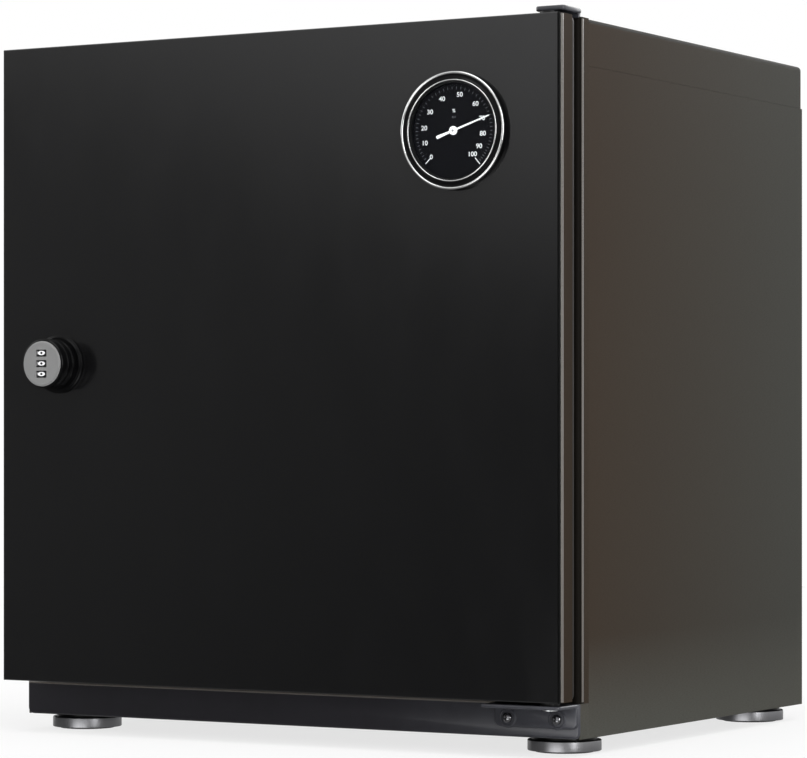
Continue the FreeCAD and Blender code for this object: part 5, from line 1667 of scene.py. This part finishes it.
@dataclass
class DryingUnit:
    """The drying unit inside, and its vent cover and inlet outside."""

    tick_count: int = 11

    def build(self) -> None:
        """Dresses the unit's pieces and prints its scale."""
        dress(WHITE_PLASTIC, "dryer_housing", "dryer_grille", "shutter_inner", "shutter_outer", "shutter_link")
        dress(PACK_CLOTH, "desiccant_pack")
        dress(ZINC, "heater_plate")
        dress(BOARD, "control_board")
        dress(LAMP, "status_lamp")
        dress(SATIN_BLACK, "power_inlet", "vent_cover")
        dress(STEEL_WIRE, "shutter_springs")
        soften(0.5 * MM, "vent_cover", "dryer_housing")
        self.scale()
        self.knob()

    def knob(self) -> None:
        """Makes the setting knob with 24 grip ribs and a white mark, on its short shaft.

        A rib's relief on the side wall at the turn t is 0.45 mm * (0.5 + 0.5 * cos 24t).
        """
        low, high = box_of("setting_knob")
        centre = (float(low[0] + high[0]) / 2, float(high[1]), float(low[2] + high[2]) / 2)
        radius = float(high[0] - low[0]) / 2
        depth = float(high[1] - low[1])
        profile = rounded(
            [
                (0, 0, 0),
                (radius * 0.3, 0, 0),
                (radius * 0.3, depth * 0.35, 0),
                (radius, depth * 0.35, 0.4 * MM),
                (radius, depth * 0.45, 0.3 * MM),
                (radius - 0.7 * MM, depth * 0.5, 0.3 * MM),
                (radius - 1.2 * MM, depth - 0.3 * MM, 0.7 * MM),
                (0, depth, 0),
            ],
            steps=5,
        )
        grid = turned(profile, 288)
        turns = np.linspace(0, 2 * math.pi, 288, endpoint=False)
        ribbed = np.clip((profile[:, 1] - depth * 0.48) / (0.5 * MM), 0, 1) * (profile[:, 0] > radius * 0.7)
        relief = 0.45 * MM * (0.5 + 0.5 * np.cos(24 * turns))[None] * ribbed[:, None]
        scale = 1 - relief / np.maximum(profile[:, :1], 1e-4)
        grid[..., 0] *= scale
        grid[..., 1] *= scale
        shape = Shape().capped(seat(grid[1:-1], Axis.Y, centre))
        piece = shape.piece("setting_knob_ribbed", "dryer_knob", GREY_PLASTIC, "grey_plastic")
        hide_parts("setting_knob")
        mark = slab(
            Shape(),
            (centre[0], float(low[1]) + 0.12 * MM, centre[2] + radius * 0.45),
            (0.45 * MM, radius * 0.28, 0.2 * MM),
            Axis.Y,
            0.4 * MM,
            0.05 * MM,
        )
        mark.piece("setting_knob_mark", "dryer_knob", GLOWING_WHITE_INK, "white_plastic")

    def scale(self) -> None:
        """Makes the printed ticks round the setting knob."""
        low, high = box_of("setting_knob")
        middle = (low + high) / 2
        face = float(box_of("dryer_grille")[0][1])
        radius = float(high[0] - low[0]) / 2
        shape = Shape()
        for turn in np.radians(np.linspace(-135, 135, self.tick_count)):
            outward = np.array([math.sin(turn), math.cos(turn)])
            sideways = np.array([math.cos(turn), -math.sin(turn)])
            start, end, half = radius + 0.7 * MM, radius + 2.2 * MM, 0.22 * MM
            ring = np.array(
                [
                    outward * start - sideways * half,
                    outward * start + sideways * half,
                    outward * end + sideways * half,
                    outward * end - sideways * half,
                ]
            )
            rows = [np.column_stack([ring, np.full(4, height)]) for height in (-0.02 * MM, 0.05 * MM)]
            shape.capped(seat(np.array(rows), Axis.Y, (float(middle[0]), face, float(middle[2]))))
        shape.piece("knob_scale", "cabinet", DIM_INK, "grey_plastic")


@dataclass
class Studio:
    """Floor, background, lamps and camera."""

    eye: tuple[float, float, float] = (1.1376, -1.95655, 0.1867)
    heading: float = 30.255
    lens: float = 154.85
    sensor: float = 36.0
    rise: float = 0.0745
    ground: float = 0.3
    floor_share: float = 0.75
    floor_radius: float = 2.2
    panel_radius: float = 2.6

    def build(self) -> None:
        """Sets the camera, the background, the floor and the lamps."""
        self.camera()
        self.background()
        self.floor()
        self.reflector()
        self.lamp("key_strip", (2.1, -1.35, 0.75), (0.0, 0.0, 0.2), (0.45, 1.9), 26.0)
        self.lamp("top_softbox", (0.3, -0.5, 2.4), (0.0, 0.0, 0.1), (1.8, 1.8), 34.0)
        self.lamp("left_softbox", (-2.2, -0.6, 1.2), (0.0, 0.0, 0.2), (1.0, 1.4), 16.0)
        self.lamp("rear_softbox", (0.6, 2.3, 1.3), (0.0, 0.0, 0.2), (1.4, 1.2), 18.0)
        bpy.context.scene.view_settings.view_transform = "Standard"

    def camera(self) -> None:
        """Places the camera level, at the photograph's heading."""
        data = bpy.data.cameras.new("camera")
        data.lens = self.lens
        data.sensor_width = self.sensor
        data.shift_y = self.rise
        camera = bpy.data.objects.new("camera", data)
        camera.location = self.eye
        camera.rotation_euler = (math.pi / 2, 0.0, math.radians(self.heading))
        bpy.context.scene.collection.objects.link(camera)
        bpy.context.scene.camera = camera

    def background(self) -> None:
        """Lights the room evenly, and shows it as white to the camera, to gloss and through glass."""
        world = bpy.data.worlds.new("room")
        bpy.context.scene.world = world
        world.use_nodes = True
        graph = Graph(world.node_tree)
        seen = graph.node("ShaderNodeLightPath", output="Is Camera Ray")
        gloss = graph.node("ShaderNodeLightPath", output="Is Glossy Ray")
        through = graph.node("ShaderNodeLightPath", output="Is Transmission Ray")
        share = (seen + gloss + through).clamped(0.0, 1.0)
        direction = graph.node("ShaderNodeTexCoord", output="Generated")
        height = graph.part(direction, Axis.Z).clamped(-0.12, 0.02)
        strength = (seen + self.ground + height * (1.0 - self.ground)).clamped(0.0, 1.0)
        dim = graph.node("ShaderNodeBackground", {}, {"Color": (1.0, 1.0, 1.0), "Strength": 0.5})
        white = graph.node("ShaderNodeBackground", {}, {"Color": (1.0, 1.0, 1.0), "Strength": strength})
        mixed = graph.node("ShaderNodeMixShader", {}, {0: share, 1: dim, 2: white})
        graph.node_output("ShaderNodeOutputWorld", mixed)

    def floor(self) -> None:
        """Makes a pale round floor that fades into the background at its rim."""
        radii = np.linspace(0, self.floor_radius, 24)
        profile = np.column_stack([radii, np.zeros(24)])
        shape = Shape().grid(seat(turned(profile[1:], 96), Axis.Z, (0.0, 0.0, 0.0)))
        shape.cap(seat(turned(profile[1:2], 96), Axis.Z, (0.0, 0.0, 0.0))[0])
        mesh = bpy.data.meshes.new("floor")
        mesh.from_pydata(np.concatenate(shape.points).tolist(), [], shape.faces)
        floor = bpy.data.objects.new("floor", mesh)
        bpy.context.scene.collection.objects.link(floor)
        made = bpy.data.materials.new("pale_floor")
        made.use_nodes = True
        graph = Graph(made.node_tree)
        length = graph.node("ShaderNodeVectorMath", {"operation": "LENGTH"}, {0: graph.place()}, output="Value")
        paper = graph.noise(graph.place(), 260.0, 3.0)
        colour = graph.mix((0.9, 0.9, 0.9), (0.87, 0.87, 0.87), paper)
        matt = graph.shader(Base_Color=colour, Roughness=0.9, Specular_IOR_Level=0.1)
        clear = graph.node("ShaderNodeBsdfTransparent")
        fade = length.clamped(0.7, 2.0)
        lit = graph.node("ShaderNodeMixShader", {}, {0: fade, 1: matt, 2: clear})
        white = graph.node("ShaderNodeEmission", {}, {"Color": (1.0, 1.0, 1.0), "Strength": 1.0})
        share = graph.node("ShaderNodeLightPath", output="Is Camera Ray") * self.floor_share
        graph.finish(graph.node("ShaderNodeMixShader", {}, {0: share, 1: lit, 2: white}))
        mesh.materials.append(made)
        floor.visible_glossy = False

    def reflector(self) -> None:
        """Makes a curved grey card before the cabinet that only gloss sees, bright above and dark below."""
        turns = np.radians(np.linspace(-25, 100, 40))[None]
        heights = np.linspace(-1.4, 2.6, 30)[:, None]
        across = -self.panel_radius * np.sin(turns) + 0 * heights
        along = -self.panel_radius * np.cos(turns) + 0 * heights
        grid = np.stack([across, along, heights + 0 * turns], axis=-1)
        shape = Shape().grid(grid, closed_columns=False)
        mesh = bpy.data.meshes.new("reflector")
        mesh.from_pydata(np.concatenate(shape.points).tolist(), [], shape.faces)
        card = bpy.data.objects.new("reflector", mesh)
        bpy.context.scene.collection.objects.link(card)
        made = bpy.data.materials.new("card")
        made.use_nodes = True
        graph = Graph(made.node_tree)
        point = graph.place()
        across = graph.part(point, Axis.X)
        height = graph.part(point, Axis.Z)
        glow = graph.node(
            "ShaderNodeEmission", {}, {"Color": (1.0, 1.0, 1.0), "Strength": self.card_light(across, height)}
        )
        graph.finish(glow)
        mesh.materials.append(made)
        for kind in ("camera", "diffuse", "transmission", "volume_scatter", "shadow"):
            setattr(card, f"visible_{kind}", False)

    def card_light(self, across: Value, height: Value) -> Value:
        """Returns the card's light: dark below, brighter above and to its left, with a low patch to its right.

        The flat door sees its left part, and the round feet see the patch.
        """
        side = across.clamped(-1.592, -0.994)
        above = (height + side * 0.29).clamped(0.62, 1.04)
        patch = across.clamped(-0.95, -0.5) * (1.0 - height.clamped(-0.3, -0.02))
        return 0.05 + (1.0 - side) * 0.12 + height.clamped(-0.12, 0.6) * 0.144 + above * 1.09 + patch * 4.0

    def lamp(self, name: str, place: Colour, target: Colour, size: tuple[float, float], power: float) -> None:
        """Places one soft rectangular lamp that faces a target.

        Args:
            name: the lamp's name.
            place: where it hangs.
            target: the point that it faces.
            size: its width and height.
            power: its power in watts.
        """
        data = bpy.data.lights.new(name, "AREA")
        data.shape = "RECTANGLE"
        data.size, data.size_y = size
        data.energy = power
        lamp = bpy.data.objects.new(name, data)
        lamp.location = place
        heading = Vector(target) - Vector(place)
        lamp.rotation_euler = heading.to_track_quat("-Z", "Y").to_euler()
        bpy.context.scene.collection.objects.link(lamp)


def main() -> None:
    """Builds the sub-assemblies in order and reports them."""
    logging.basicConfig(level=logging.INFO, format="%(message)s")
    for part in (Shell(), Feet(), Door(), Hygrometer(), Lock(), Hinges(), Interior(), DryingUnit(), Studio()):
        part.build()
        log.info("%s done", type(part).__name__)


if __name__ == "__main__":
    main()
